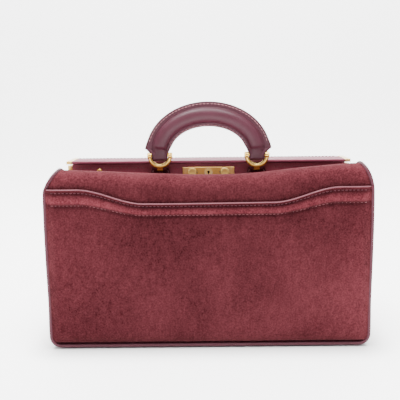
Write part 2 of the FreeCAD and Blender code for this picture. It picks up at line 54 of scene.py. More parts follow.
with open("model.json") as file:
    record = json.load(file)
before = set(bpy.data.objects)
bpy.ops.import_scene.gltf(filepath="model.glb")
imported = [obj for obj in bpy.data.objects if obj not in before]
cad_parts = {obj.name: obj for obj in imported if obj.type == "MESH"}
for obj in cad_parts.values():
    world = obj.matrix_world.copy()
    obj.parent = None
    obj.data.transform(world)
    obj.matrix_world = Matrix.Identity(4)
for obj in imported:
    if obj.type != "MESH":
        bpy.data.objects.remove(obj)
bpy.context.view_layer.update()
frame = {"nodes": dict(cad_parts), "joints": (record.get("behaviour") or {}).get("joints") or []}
SIDES = (("left", -1), ("right", 1))

JOINTS = {joint["name"]: joint for joint in frame["joints"]}
_, HINGE_Y, HINGE_Z = JOINTS["front_jaw_open"]["pos_m"]


def low(node):
    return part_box(node)[0]


def high(node):
    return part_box(node)[1]


PANEL_HALF = high("front_panel").x
PANEL_FACE = HINGE_Y - low("front_panel").y       # how far the panels' faces are from the hinge line
PANEL_BOTTOM = low("front_panel").z
PIPING_X = high("front_piping").x
GUSSET_X = high("right_gusset").x
JAW_FACE = HINGE_Y - low("front_jaw_cover").y
JAW_BOTTOM = low("front_jaw_cover").z
CORNER_R = 0.008
SUEDE_HALF = PIPING_X - 0.0026                    # the suede reaches into the piping
SUEDE_T, POCKET_T = 0.0020, 0.0010


class BagSettings(bpy.types.PropertyGroup):
    """Sizes and colours that a user would change."""

    suede: bpy.props.FloatVectorProperty(
        name="Suede", description="Colour of the suede's nap", subtype="COLOR", size=3,
        default=(0.041, 0.0044, 0.0071))
    leather: bpy.props.FloatVectorProperty(
        name="Leather", description="Colour of the smooth leather", subtype="COLOR", size=3,
        default=(0.075, 0.0125, 0.0215))
    edging: bpy.props.FloatVectorProperty(
        name="Edging", description="Colour of the piping and the pocket's binding", subtype="COLOR", size=3,
        default=(0.080, 0.0200, 0.0310))
    gold: bpy.props.FloatVectorProperty(
        name="Gold", description="Colour of the plated fittings", subtype="COLOR", size=3,
        default=(0.80, 0.50, 0.115))
    brass: bpy.props.FloatVectorProperty(
        name="Brass", description="Colour of the lock", subtype="COLOR", size=3,
        default=(0.76, 0.44, 0.12))
    thread: bpy.props.FloatVectorProperty(
        name="Thread", description="Colour of the stitching", subtype="COLOR", size=3,
        default=(0.17, 0.050, 0.058))
    cloth: bpy.props.FloatVectorProperty(
        name="Lining", description="Colour of the lining cloth", subtype="COLOR", size=3,
        default=(0.36, 0.27, 0.18))
    crest_height: bpy.props.FloatProperty(
        name="Crest height", description="Height of the shoulders' crest in the middle of the bag",
        default=0.1712, unit="LENGTH")
    left_rise: bpy.props.FloatProperty(
        name="Left rise", description="How much higher the crest is at its left end", default=0.006,
        unit="LENGTH")
    right_rise: bpy.props.FloatProperty(
        name="Right rise", description="How much higher the crest is at its right end", default=0.0105,
        unit="LENGTH")
    wrinkle: bpy.props.FloatProperty(
        name="Undulation", description="Height of the soft waves in the suede", default=0.0009, unit="LENGTH")
    piping_radius: bpy.props.FloatProperty(
        name="Piping radius", description="Radius of the piping", default=0.0017, unit="LENGTH")
    stitch_length: bpy.props.FloatProperty(
        name="Stitch length", description="Length of one stitch", default=0.0026, unit="LENGTH")
    stitch_gap: bpy.props.FloatProperty(
        name="Stitch gap", description="Gap between two stitches", default=0.0011, unit="LENGTH")


def settings():
    return bpy.context.scene.bag_settings


# Shader node groups


class Nodes:
    """Adds nodes and links to one node tree."""

    def __init__(self, tree):
        self.tree = tree

    def add(self, kind, links=(), **values):
        node = self.tree.nodes.new(kind)
        for key, value in values.items():
            if hasattr(node, key):
                setattr(node, key, value)
            else:
                node.inputs[key.replace("_", " ")].default_value = value
        for socket, source in dict(links).items():
            self.tree.links.new(source, node.inputs[socket])
        return node

    def link(self, source, target):
        self.tree.links.new(source, target)

    def math(self, operation, a, b=0.5, clamp=False):
        node = self.tree.nodes.new("ShaderNodeMath")
        node.operation, node.use_clamp = operation, clamp
        for socket, value in zip(node.inputs, (a, b)):
            if isinstance(value, (int, float)):
                socket.default_value = value
            else:
                self.tree.links.new(value, socket)
        return node.outputs[0]

    def ramp(self, value, low_at, high_at, low_to=0.0, high_to=1.0):
        """A smooth step of value from low_at to high_at."""
        node = self.tree.nodes.new("ShaderNodeMapRange")
        node.interpolation_type = "SMOOTHSTEP"
        for socket, number in zip(list(node.inputs)[1:5], (low_at, high_at, low_to, high_to)):
            socket.default_value = number
        self.tree.links.new(value, node.inputs[0])
        return node.outputs[0]

    def mix(self, factor, a, b, blend="MIX"):
        node = self.tree.nodes.new("ShaderNodeMix")
        node.data_type, node.blend_type = "RGBA", blend
        for socket, value in ((node.inputs[0], factor), (node.inputs[6], a), (node.inputs[7], b)):
            if isinstance(value, (int, float)):
                socket.default_value = value
            elif isinstance(value, tuple):
                socket.default_value = (*value, 1.0)
            else:
                self.tree.links.new(value, socket)
        return node.outputs[2]


def effect_group(name, inputs, outputs):
    """An empty shader node group with named sockets, and its inner ends."""
    tree = bpy.data.node_groups.new(name, "ShaderNodeTree")
    for label, kind, default in inputs:
        socket = tree.interface.new_socket(name=label, in_out="INPUT", socket_type=kind)
        socket.default_value = default
    for label, kind in outputs:
        tree.interface.new_socket(name=label, in_out="OUTPUT", socket_type=kind)
    nodes = Nodes(tree)
    return nodes, nodes.add("NodeGroupInput").outputs, nodes.add("NodeGroupOutput").inputs


FLOAT, COLOR = "NodeSocketFloat", "NodeSocketColor"
# Name of the mesh values for the suede's painted light and painted shade, partly rubbed nap
RUB_AND_SHADE = "rub"


def scaled_coordinates(nodes, scale, stretch=(1.0, 1.0, 1.0)):
    """The piece's own coordinates times scale, stretched along the axes."""
    where = nodes.add("ShaderNodeTexCoord").outputs["Object"]
    shrink = nodes.add("ShaderNodeMapping", {"Vector": where})
    shrink.inputs["Scale"].default_value = stretch
    times = nodes.add("ShaderNodeVectorMath", {0: shrink.outputs[0]}, operation="SCALE")
    if isinstance(scale, (int, float)):
        times.inputs["Scale"].default_value = scale
    else:
        nodes.link(scale, times.inputs["Scale"])
    return times.outputs[0]


def noise_value(nodes, scale, detail=4.0, roughness=0.55, stretch=(1.0, 1.0, 1.0), distortion=0.0):
    texture = nodes.add("ShaderNodeTexNoise", {"Vector": scaled_coordinates(nodes, scale, stretch)},
                        Scale=1.0, Detail=detail, Roughness=roughness, Distortion=distortion)
    return texture.outputs["Fac"]


def nap_group():
    """Suede nap: brushed patches, short strokes and a fine grain."""
    nodes, given, out = effect_group(
        "Suede nap",
        [("Color", COLOR, (0.2, 0.02, 0.03, 1)), ("Patch Scale", FLOAT, 10.0), ("Contrast", FLOAT, 1.0)],
        [("Color", COLOR), ("Roughness", FLOAT), ("Height", FLOAT)])
    patches = nodes.ramp(noise_value(nodes, given["Patch Scale"], 4.0, 0.55, distortion=0.4), 0.3, 0.7)
    strokes = noise_value(nodes, 230.0, 3.0, 0.6, (1.0, 1.0, 0.5), 0.6)
    grain = noise_value(nodes, 620.0, 4.0, 0.75)
    tone = 0.5
    for part, weight in ((patches, 0.46), (strokes, 0.8), (grain, 2.2)):
        tone = nodes.math("ADD", tone, nodes.math("MULTIPLY", nodes.math("SUBTRACT", part, 0.5), weight))
    spread = nodes.math("MULTIPLY", nodes.math("SUBTRACT", tone, 0.5), given["Contrast"])
    shade = nodes.math("ADD", spread, 0.5, clamp=True)
    dark = nodes.mix(1.0, given["Color"], (0.46, 0.40, 0.42), "MULTIPLY")
    light = nodes.mix(0.02, nodes.mix(1.0, given["Color"], (1.75, 1.9, 1.9), "MULTIPLY"), (0.9, 0.45, 0.45))
    nodes.link(nodes.mix(shade, dark, light), out["Color"])
    nodes.link(nodes.ramp(tone, 0.2, 0.9, 1.0, 0.86), out["Roughness"])
    height = nodes.math("ADD", nodes.math("MULTIPLY", strokes, 0.5), nodes.math("MULTIPLY", grain, 0.5))
    nodes.link(height, out["Height"])
    return nodes.tree


def grain_group():
    """Leather grain: small cells with creases between them, a soft cloudiness and pores."""
    nodes, given, out = effect_group(
        "Leather grain",
        [("Color", COLOR, (0.12, 0.02, 0.03, 1)), ("Cell Scale", FLOAT, 900.0), ("Cloud", FLOAT, 0.35),
         ("Gloss", FLOAT, 0.34)],
        [("Color", COLOR), ("Roughness", FLOAT), ("Height", FLOAT)])
    cells = nodes.add("ShaderNodeTexVoronoi", {"Vector": scaled_coordinates(nodes, given["Cell Scale"])},
                      feature="DISTANCE_TO_EDGE", Scale=1.0)
    crease = nodes.ramp(cells.outputs["Distance"], 0.0, 0.16)
    cloud = nodes.ramp(noise_value(nodes, 55.0, 5.0, 0.6), 0.3, 0.7)
    pores = noise_value(nodes, 2200.0, 2.0)
    dark = nodes.mix(1.0, given["Color"], (0.60, 0.55, 0.55), "MULTIPLY")
    light = nodes.mix(1.0, given["Color"], (1.3, 1.35, 1.35), "MULTIPLY")
    cloudy = nodes.mix(nodes.math("MULTIPLY", cloud, given["Cloud"]), given["Color"], light)
    nodes.link(nodes.mix(nodes.math("MULTIPLY", nodes.math("SUBTRACT", 1.0, crease), 0.55), cloudy, dark),
               out["Color"])
    rough = nodes.math("ADD", given["Gloss"], nodes.math("MULTIPLY", cloud, 0.10))
    nodes.link(nodes.math("ADD", rough, nodes.math("MULTIPLY", nodes.math("SUBTRACT", 1.0, crease), 0.15)),
               out["Roughness"])
    nodes.link(nodes.math("ADD", crease, nodes.math("MULTIPLY", pores, 0.4)), out["Height"])
    return nodes.tree


def wear_group():
    """Wear: a mask of the sharp edges, broken up."""
    nodes, given, out = effect_group(
        "Edge wear", [("Amount", FLOAT, 0.5), ("Break-up Scale", FLOAT, 240.0)], [("Mask", FLOAT)])
    edge = nodes.ramp(nodes.add("ShaderNodeNewGeometry").outputs["Pointiness"], 0.545, 0.66)
    broken = nodes.ramp(noise_value(nodes, given["Break-up Scale"], 4.0), 0.35, 0.65)
    mask = nodes.math("MULTIPLY", nodes.math("MULTIPLY", edge, broken), given["Amount"], clamp=True)
    nodes.link(mask, out["Mask"])
    return nodes.tree


def plating_group():
    """Plated metal: hairline scratches, fingermarks and a slight change of tone."""
    nodes, given, out = effect_group(
        "Plating", [("Color", COLOR, (0.9, 0.66, 0.34, 1)), ("Polish", FLOAT, 0.18)],
        [("Color", COLOR), ("Roughness", FLOAT), ("Height", FLOAT)])
    scratches = nodes.ramp(noise_value(nodes, 900.0, 2.0, 0.6, (0.06, 1.0, 1.0), 0.3), 0.55, 0.75)
    marks = nodes.ramp(noise_value(nodes, 120.0, 4.0), 0.35, 0.7)
    tarnish = nodes.mix(1.0, given["Color"], (0.72, 0.62, 0.50), "MULTIPLY")
    nodes.link(nodes.mix(nodes.math("MULTIPLY", marks, 0.35), given["Color"], tarnish), out["Color"])
    rough = nodes.math("ADD", given["Polish"], nodes.math("MULTIPLY", marks, 0.12))
    nodes.link(nodes.math("ADD", rough, nodes.math("MULTIPLY", scratches, 0.12)), out["Roughness"])
    nodes.link(scratches, out["Height"])
    return nodes.tree


def twill_group():
    """Twill cloth: slanted ribs crossed by single threads."""
    nodes, given, out = effect_group(
        "Twill", [("Color", COLOR, (0.36, 0.27, 0.18, 1)), ("Thread Scale", FLOAT, 260.0)],
        [("Color", COLOR), ("Roughness", FLOAT), ("Height", FLOAT)])
    at = scaled_coordinates(nodes, given["Thread Scale"])
    rib = nodes.add("ShaderNodeTexWave", {"Vector": at}, wave_type="BANDS", bands_direction="DIAGONAL",
                    Scale=1.0, Distortion=0.6).outputs["Fac"]
    thread = nodes.add("ShaderNodeTexWave", {"Vector": at}, wave_type="BANDS", bands_direction="Z",
                       Scale=1.6, Distortion=0.4).outputs["Fac"]
    weave = nodes.math("ADD", nodes.math("MULTIPLY", rib, 0.7), nodes.math("MULTIPLY", thread, 0.3))
    dark = nodes.mix(1.0, given["Color"], (0.62, 0.60, 0.58), "MULTIPLY")
    nodes.link(nodes.mix(weave, dark, given["Color"]), out["Color"])
    nodes.link(nodes.ramp(weave, 0.0, 1.0, 0.95, 0.80), out["Roughness"])
    nodes.link(weave, out["Height"])
    return nodes.tree


EFFECTS = {"nap": nap_group, "grain": grain_group, "wear": wear_group, "plating": plating_group,
           "twill": twill_group}
built_effects = {}


def effect(nodes, name, **values):
    """Places a shared effect in a material, with this material's values. The group is built at its first use."""
    if name not in built_effects:
        built_effects[name] = EFFECTS[name]()
    node = nodes.tree.nodes.new("ShaderNodeGroup")
    node.node_tree = built_effects[name]
    for key, value in values.items():
        node.inputs[key.replace("_", " ")].default_value = value
    return node.outputs


def new_material(name, surface, bump_strength, bump_distance, **shader_values):
    """A Principled material fed by a surface effect, and its nodes."""
    material = bpy.data.materials.new(name)
    material.use_nodes = True
    nodes = Nodes(material.node_tree)
    shader = material.node_tree.nodes["Principled BSDF"]
    for key, value in shader_values.items():
        shader.inputs[key.replace("_", " ")].default_value = value
    kind, values = surface
    outputs = effect(nodes, kind, **values)
    nodes.link(outputs["Color"], shader.inputs["Base Color"])
    nodes.link(outputs["Roughness"], shader.inputs["Roughness"])
    bump = nodes.add("ShaderNodeBump", {"Height": outputs["Height"]}, Strength=bump_strength,
                     Distance=bump_distance)
    nodes.link(bump.outputs["Normal"], shader.inputs["Normal"])
    return material, nodes, shader


# How deep each finish's surface is in its bump, the colours that multiply the suede for its painted light, partly
# rubbed nap, and for its painted shade in creases, and the colours of rubbed edges
NAP_DEPTH, GRAIN_DEPTH, SCRATCH_DEPTH, THREAD_DEPTH, CLOTH_DEPTH = 0.0006, 0.00025, 0.0001, 0.0001, 0.0003
RUBBED_AND_LIT_NAP, SHADED_CREASE_NAP = (2.3, 2.6, 2.5), (0.30, 0.24, 0.26)
RUBBED_LEATHER, RUBBED_METAL = (0.22, 0.07, 0.08), (0.95, 0.82, 0.60)


def color_of(name):
    return (*getattr(settings(), name), 1.0)


def add_wear(nodes, shader, color, amount):
    """Rubbed edges: the base colour turns to color where the edge is worn."""
    mask = effect(nodes, "wear", Amount=amount)["Mask"]
    source = shader.inputs["Base Color"].links[0].from_socket
    nodes.link(nodes.mix(mask, source, color), shader.inputs["Base Color"])


def suede_material():
    """Suede, lighter and darker by the mesh's rub-and-shade values: painted light where the nap lies lit, partly
    nap rubbed bare, and painted shade where it lies in a crease.
    """
    surface = ("nap", {"Color": color_of("suede"), "Contrast": 0.85})
    material, nodes, shader = new_material("Suede", surface, 0.55, NAP_DEPTH, Sheen_Weight=0.05,
                                           Sheen_Roughness=0.5, Sheen_Tint=(0.95, 0.30, 0.32, 1.0),
                                           Specular_IOR_Level=0.08)
    rub = nodes.add("ShaderNodeAttribute", attribute_name=RUB_AND_SHADE).outputs["Fac"]
    color = shader.inputs["Base Color"].links[0].from_socket
    # Painted light, partly rubbed nap: lighter where the values are above 0
    color = nodes.mix(nodes.math("MULTIPLY", rub, 1.0, True), color, RUBBED_AND_LIT_NAP, "MULTIPLY")
    # Painted shade in creases: darker where the values are below 0
    color = nodes.mix(nodes.math("MULTIPLY", rub, -1.0, True), color, SHADED_CREASE_NAP, "MULTIPLY")
    nodes.link(color, shader.inputs["Base Color"])
    return material


def leather_material(name, color, gloss, cells=900.0, bump=0.22, shine=0.25):
    surface = ("grain", {"Color": color, "Gloss": gloss, "Cell_Scale": cells})
    material, nodes, shader = new_material(name, surface, bump, GRAIN_DEPTH, Specular_IOR_Level=shine)
    add_wear(nodes, shader, RUBBED_LEATHER, 0.35)
    return material


def metal_material(name, color, polish, metallic=0.70):
    surface = ("plating", {"Color": color, "Polish": polish})
    material, nodes, shader = new_material(name, surface, 0.06, SCRATCH_DEPTH, Metallic=metallic)
    add_wear(nodes, shader, RUBBED_METAL, 0.5)
    return material


def thread_material(name, color):
    surface = ("twill", {"Color": color, "Thread_Scale": 3200.0})
    material, _, _ = new_material(name, surface, 0.4, THREAD_DEPTH, Sheen_Weight=0.2, Specular_IOR_Level=0.3)
    return material


def cloth_material():
    surface = ("twill", {"Color": color_of("cloth")})
    material, _, _ = new_material("Lining cloth", surface, 0.5, CLOTH_DEPTH, Sheen_Weight=0.15)
    return material


MATERIALS = {
    "suede": suede_material,
    "leather": lambda: leather_material("Smooth leather", color_of("leather"), 0.42, shine=0.18),
    "polished": lambda: leather_material("Polished leather", (0.060, 0.0130, 0.0228, 1.0), 0.38, 1300.0, 0.10,
                                         0.26),
    "jaw": lambda: leather_material("Jaw leather", (0.200, 0.034, 0.055, 1.0), 0.40, 1300.0),
    "flap": lambda: leather_material("Flap leather", (0.190, 0.038, 0.066, 1.0), 0.44, 1500.0, 0.05, 0.22),
    "edging": lambda: leather_material("Edging leather", color_of("edging"), 0.42, 1100.0),
    # A lighter copy of the edging leather: a painted highlight along the pocket binding's thin edge
    "welt": lambda: leather_material("Welt leather", (0.170, 0.056, 0.070, 1.0), 0.45, 1100.0),
    "gold": lambda: metal_material("Plated gold", color_of("gold"), 0.16),
    "brass": lambda: metal_material("Lock brass", color_of("brass"), 0.28, 0.5),
    # A paler, less metallic copy of the plated gold, so the raised bosses read brighter: a painted highlight
    "boss": lambda: metal_material("Lock bosses", (0.93, 0.66, 0.20, 1.0), 0.30, 0.35),
    "steel": lambda: metal_material("Steel", (0.55, 0.55, 0.56, 1.0), 0.32, 1.0),
    "thread": lambda: thread_material("Thread", color_of("thread")),
    "pale thread": lambda: thread_material("Pale thread", (0.42, 0.18, 0.20, 1.0)),
    "cloth": cloth_material,
    "dark": lambda: leather_material("Keyhole shade", (0.006, 0.004, 0.003, 1.0), 0.9, shine=0.0),
    "board": lambda: leather_material("Board", (0.20, 0.15, 0.10, 1.0), 0.8, 500.0),
}
built_materials = {}


def material(name):
    if name not in built_materials:
        built_materials[name] = MATERIALS[name]()
    return built_materials[name]


# Mesh making


def mesh_object(name, verts, faces, finish, smooth=True):
    """A new piece from points and faces."""
    mesh = bpy.data.meshes.new(name)
    mesh.from_pydata([tuple(map(float, v)) for v in verts], [], [tuple(map(int, f)) for f in faces])
    mesh.validate()
    mesh.polygons.foreach_set("use_smooth", [smooth] * len(mesh.polygons))
    mesh.materials.append(material(finish))
    mesh.update()
    piece = bpy.data.objects.new(name, mesh)
    bpy.context.collection.objects.link(piece)
    return piece


def grid_faces(rows, columns, first=0, wrap=False, flip=False):
    """Quads of a grid of points stored row after row. wrap joins the last column to the first."""
    faces = []
    for r in range(rows - 1):
        for c in range(columns if wrap else columns - 1):
            d = (c + 1) % columns
            quad = (first + r * columns + c, first + r * columns + d,
                    first + (r + 1) * columns + d, first + (r + 1) * columns + c)
            faces.append(quad[::-1] if flip else quad)
    return faces


def grid_normals(points):
    across, along = np.gradient(points, axis=1), np.gradient(points, axis=0)
    normals = np.cross(across, along)
    return normals / np.maximum(np.linalg.norm(normals, axis=2, keepdims=True), 1e-12)


def capped_faces(rings, around):
    """Faces of a tube of rings of points, with a cap at each end."""
    count = rings * around
    caps = [tuple(range(around))[::-1], tuple(range(count - around, count))]
    return grid_faces(rings, around, wrap=True) + caps


def closed_sheet(outer, thickness):
    """Points and faces of a sheet with its outer side at a grid of points, and its edges closed."""
    rows, columns, _ = outer.shape
    inner = outer - grid_normals(outer) * thickness
    verts = np.concatenate([outer.reshape(-1, 3), inner.reshape(-1, 3)])
    count = rows * columns
    faces = grid_faces(rows, columns) + grid_faces(rows, columns, count, flip=True)
    ring = [c for c in range(columns)]
    ring += [r * columns + columns - 1 for r in range(1, rows)]
    ring += [(rows - 1) * columns + c for c in range(columns - 2, -1, -1)]
    ring += [r * columns for r in range(rows - 2, 0, -1)]
    for a, b in zip(ring, ring[1:] + ring[:1]):
        faces.append((b, a, a + count, b + count))
    return verts, faces


def store_rub_and_shade(piece, values):
    """Keeps the suede's painted light and shade, partly rubbed nap, at each point of a closed sheet's grid: -1
    for full painted shade in a crease, 1 for full painted light where the nap is lit and bare.
    """
    attribute = piece.data.attributes.new(RUB_AND_SHADE, "FLOAT", "POINT")
    attribute.data.foreach_set("value", np.tile(values.reshape(-1), 2).astype(np.float32))


def smooth_curve(keys, count):
    """count points, evenly spaced, on a smooth curve through the keys."""
    keys = np.array(keys, float)
    padded = np.vstack([2 * keys[0] - keys[1], keys, 2 * keys[-1] - keys[-2]])
    fine = []
    for p0, p1, p2, p3 in zip(padded, padded[1:], padded[2:], padded[3:]):
        t = np.linspace(0, 1, 24, endpoint=False)[:, None]
        fine.append(0.5 * (2 * p1 + (p2 - p0) * t + (2 * p0 - 5 * p1 + 4 * p2 - p3) * t ** 2
                           + (3 * p1 - p0 - 3 * p2 + p3) * t ** 3))
    fine = np.vstack([*fine, keys[-1:]])
    length = np.concatenate([[0], np.cumsum(np.linalg.norm(np.diff(fine, axis=0), axis=1))])
    at = np.linspace(0, length[-1], count)
    return np.column_stack([np.interp(at, length, fine[:, k]) for k in range(keys.shape[1])])


def tube(path, radius, around=12):
    """Points and faces of a round cord along a path, with rounded ends."""
    path = np.array(path, float)
    tangents = np.gradient(path, axis=0)
    tangents /= np.linalg.norm(tangents, axis=1, keepdims=True)
    side = np.cross(tangents[0], (0.0, 0.0, 1.0))
    if np.linalg.norm(side) < 0.1:
        side = np.cross(tangents[0], (0.0, 1.0, 0.0))
    rings, turn = [], np.linspace(0, 2 * math.pi, around, endpoint=False)
    for i, (p, t) in enumerate(zip(path, tangents)):
        side = side - t * (side @ t)
        side /= np.linalg.norm(side)
        up = np.cross(t, side)
        end = min(i, len(path) - 1 - i)
        r = radius * (0.6, 0.9, 1.0)[min(end, 2)]
        rings.append(p + r * (np.outer(np.cos(turn), side) + np.outer(np.sin(turn), up)))
    return np.vstack(rings), capped_faces(len(rings), around)


def merge(parts):
    """Several (points, faces) as one."""
    verts, faces, first = [], [], 0
    for v, f in parts:
        verts.append(np.asarray(v, float))
        faces += [tuple(i + first for i in face) for face in f]
        first += len(v)
    return np.vstack(verts), faces


STITCH_RINGS = ((0.0, 0.35), (0.12, 0.8), (0.5, 1.0), (0.88, 0.8), (1.0, 0.35))


def stitch(start, end, normal, width):
    """One stitch: a short round thread that dips into the leather at both ends."""
    along = end - start
    axis = along / np.linalg.norm(along)
    side = np.cross(normal, axis)
    verts = []
    for share, fat in STITCH_RINGS:
        middle = start + along * share + normal * width * (0.75 * fat - 0.55)
        for k in range(6):
            a = k * math.pi / 3
            verts.append(middle + width * fat * (side * math.cos(a) * 0.5 + normal * math.sin(a) * 0.42))
    return np.array(verts), capped_faces(len(STITCH_RINGS), 6)


def stitch_row(path, normal, width=0.0008):
    """Stitches along a path on a surface that faces along normal."""
    path, normal = np.array(path, float), np.array(normal, float)
    length = np.concatenate([[0], np.cumsum(np.linalg.norm(np.diff(path, axis=0), axis=1))])
    step = settings().stitch_length + settings().stitch_gap
    count = max(int(length[-1] / step), 1)

    def at(distance):
        return np.array([np.interp(distance, length, path[:, k]) for k in range(3)])

    made = []
    for i in range(count):
        begin = (i + 0.5) * length[-1] / count - settings().stitch_length / 2
        made.append(stitch(at(begin), at(begin + settings().stitch_length), normal, width))
    return made


def step(value, start, end):
    """A smooth step of value from 0 at start to 1 at end."""
    t = np.clip((np.asarray(value, float) - start) / (end - start), 0.0, 1.0)
    return t * t * (3 - 2 * t)


def waves(x, y, z, size):
    """Soft noise between about -1 and 1, whose waves are about size long."""
    return noise.noise(Vector((x, y, z)) / size)


# Suede body


BACK_LIFT, BACK_LIMIT = 0.0022, 0.1785


def crest_z(x, front):
    """Height of a shoulder's crest: it sags in the middle and is held up by the gussets at the ends. The back
    one is fuller and more even."""
    s = settings()
    rise = s.left_rise if x < 0 else s.right_rise
    top = s.crest_height + rise * float(step(abs(x), 0.0, PANEL_HALF))
    return top if front > 0 else min(top + BACK_LIFT, BACK_LIMIT)


PROFILE_ROWS = 110
CREST_Y = 0.0505
BELLY = 0.0016


def body_profile(x, front):
    """Side view of the suede at one place across the bag: (distance in front of the hinge line, height)."""
    top = crest_z(x, front)
    face = PANEL_FACE
    keys = [
        (face - 0.0050, PANEL_BOTTOM - 0.0004),
        (face - 0.0014, PANEL_BOTTOM + 0.0006),
        (face + 0.0002, PANEL_BOTTOM + 0.0040),
        (face + BELLY * 0.6, 0.035),
        (face + BELLY, 0.075),
        (face + BELLY * 0.5, 0.120),
        (face - 0.0004, 0.150),
        (face - 0.0042, top - 0.0086),
        (face - 0.0105, top - 0.0022),
        (CREST_Y, top),
        (0.0380, top - 0.0024),
        (0.0270, (top + JAW_BOTTOM) / 2 + 0.0022),
        (JAW_FACE + 0.0022, JAW_BOTTOM + 0.0030),
        (JAW_FACE + 0.0006, JAW_BOTTOM - 0.0006),
    ]
    return smooth_curve(keys, PROFILE_ROWS)


CORNER_FROM = 0.157


def corner_inset(profile, side, front):
    """How far the seam draws in towards the frame at the points of a side view: the gusset folds in there."""
    top = crest_z(side * PANEL_HALF, front)
    height = np.where(profile[:, 0] > CREST_Y, profile[:, 1], top)
    share = np.clip((height - CORNER_FROM) / (top - CORNER_FROM), 0.0, 1.0)
    return 0.0118 * share ** 1.4 if side < 0 else 0.0088 * share ** 1.9


def half_width(z):
    """Half of the panel's width at a height: its bottom corners are round."""
    rise = np.clip((CORNER_R - (np.asarray(z) - PANEL_BOTTOM)) / CORNER_R, 0.0, 1.0)
    bulge = 0.0010 * step(z, 0.040, 0.130)
    return SUEDE_HALF + bulge - CORNER_R * (1 - np.sqrt(1 - rise ** 2))


def body_grid(front):
    """The suede's outer side, row by row from the base up to the jaw, with its soft waves."""
    seed = 0.0 if front > 0 else 3.7
    shares = np.linspace(-1, 1, 170)
    shares = np.sign(shares) * (1 - (1 - np.abs(shares)) ** 1.15)
    grid = np.zeros((PROFILE_ROWS, len(shares), 3))
    for c, share in enumerate(shares):
        profile = body_profile(share * PANEL_HALF, front)
        drawn = corner_inset(profile, -1 if share < 0 else 1, front) * abs(share) ** 3
        x = share * half_width(profile[:, 1]) - math.copysign(1.0, share) * drawn
        grid[:, c] = np.column_stack([x, -profile[:, 0], profile[:, 1]])
    if front < 0:
        grid[:, :, 1] *= -1
        grid = grid[:, ::-1]
    normals = grid_normals(grid)
    amount = settings().wrinkle
    for r in range(grid.shape[0]):
        up = r / (grid.shape[0] - 1)
        free = math.sin(math.pi * min(max(up * 1.04 - 0.02, 0), 1)) ** 0.5
        for c in range(grid.shape[1]):
            x, y, z = grid[r, c]
            seam = min(max((1 - abs(x) / SUEDE_HALF) / 0.06, 0.0), 1.0)
            wave = waves(x, y + seed, z, 0.085) * 1.5 + waves(x + seed, y, z, 0.034) * 0.55
            pillow = -0.0018 * (1 - seam) ** 3 * float(step(up, 0.06, 0.20))
            grid[r, c] += normals[r, c] * (wave * amount * free * (0.35 + 0.65 * seam) + pillow)
    grid[:, :, 1] += HINGE_Y
    return grid


grids = {}


def suede_grid(front):
    if front not in grids:
        grids[front] = body_grid(front)
    return grids[front]


JAWS = (("front", 1, "front_jaw"), ("back", -1, "back_jaw"))


def bend_with_jaw(piece):
    """Bakes the piece's placement into its points."""
    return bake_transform(piece)


def side_painted_light(grid):
    """Painted light: the nap is made a little lighter towards the sides."""
    return 0.24 * (grid[:, :, 0] / SUEDE_HALF) ** 2 - 0.06


class BAG_OT_suede_body(bpy.types.Operator):
    """Front and back suede, each one sheet from the base over the shoulder and down to its jaw."""

    bl_idname = "bag.suede_body"
    bl_label = "Suede body"

    def execute(self, context):
        for name, front, jaw in JAWS:
            verts, faces = closed_sheet(suede_grid(front), SUEDE_T)
            piece = mesh_object(name + "_suede", verts, faces, "suede")
            grid = suede_grid(front)
            top = grid[:, :, 2].max(axis=0)
            # Painted light on the shoulders' tops, where light from above falls, partly nap rubbed on the crest,
            # and painted light towards the sides
            store_rub_and_shade(piece, 0.42 * step(grid[:, :, 2], top - 0.016, top - 0.002) + side_painted_light(grid))
            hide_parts(name + "_panel", name + "_shoulder")
            bend_with_jaw(piece)
        return {"FINISHED"}


def seam_path(front, side):
    """The edge of the suede on one side, from the base up to the jaw."""
    return suede_grid(front)[:, -1 if side * front > 0 else 0]


def piping_path(front):
    """From the left jaw end over the shoulder, down the side, along the base and up the right side."""
    radius = settings().piping_radius
    out = PIPING_X - radius
    corner = CORNER_R + radius
    bottom = low("front_piping").z + radius
    face = HINGE_Y - front * (PANEL_FACE + 0.0002)
    sides = []
    for side in (-1, 1):
        column = seam_path(front, side)
        above = column[column[:, 2] > bottom + corner][2:]
        drawn = side * SUEDE_HALF - above[:, 0]
        sides.append(np.column_stack([side * out - drawn, above[:, 1] - front * 0.0002, above[:, 2] + 0.0002]))
    quarter = np.linspace(0, math.pi / 2, 10)
    centre = out - corner
    left = [(-centre - corner * math.cos(a), face, bottom + corner - corner * math.sin(a)) for a in quarter]
    right = [(centre + corner * math.sin(a), face, bottom + corner - corner * math.cos(a)) for a in quarter]
    middle = [(x, face, bottom) for x in np.linspace(-centre, centre, 80)[1:-1]]
    return smooth_curve([*sides[0][::-1][::2], *left, *middle, *right, *sides[1][::2]], 700)


class BAG_OT_piping(bpy.types.Operator):
    """Leather piping in the seams between the suede and the gussets."""

    bl_idname = "bag.piping"
    bl_label = "Piping"

    def execute(self, context):
        for name, front, jaw in JAWS:
            verts, faces = tube(piping_path(front), settings().piping_radius)
            piece = mesh_object(name + "_beading", verts, faces, "edging")
            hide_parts(name + "_piping", name + "_shoulder_piping")
            bend_with_jaw(piece)
        return {"FINISHED"}


# Outside pocket

BAND_TOP, BAND_BOTTOM = 0.0024, 0.0138      # the two stitch lines below the pocket's edge
POCKET_SIDE_Z = high("pocket_binding").z
POCKET_DIP = 0.0142
WAVE_OUTER, WAVE_INNER = 0.127, 0.063
BINDING = 0.0020


def pocket_edge(x):
    """Height of the binding's top edge."""
    right = 0.0006 * step(x, -0.05, 0.09)
    return POCKET_SIDE_Z + right - POCKET_DIP * (1 - step(np.abs(x), WAVE_INNER, WAVE_OUTER))


def band_scale(x):
    """The band is narrower along the low middle of the pocket's edge."""
    return 0.78 + 0.27 * step(np.abs(x), WAVE_INNER, WAVE_OUTER)


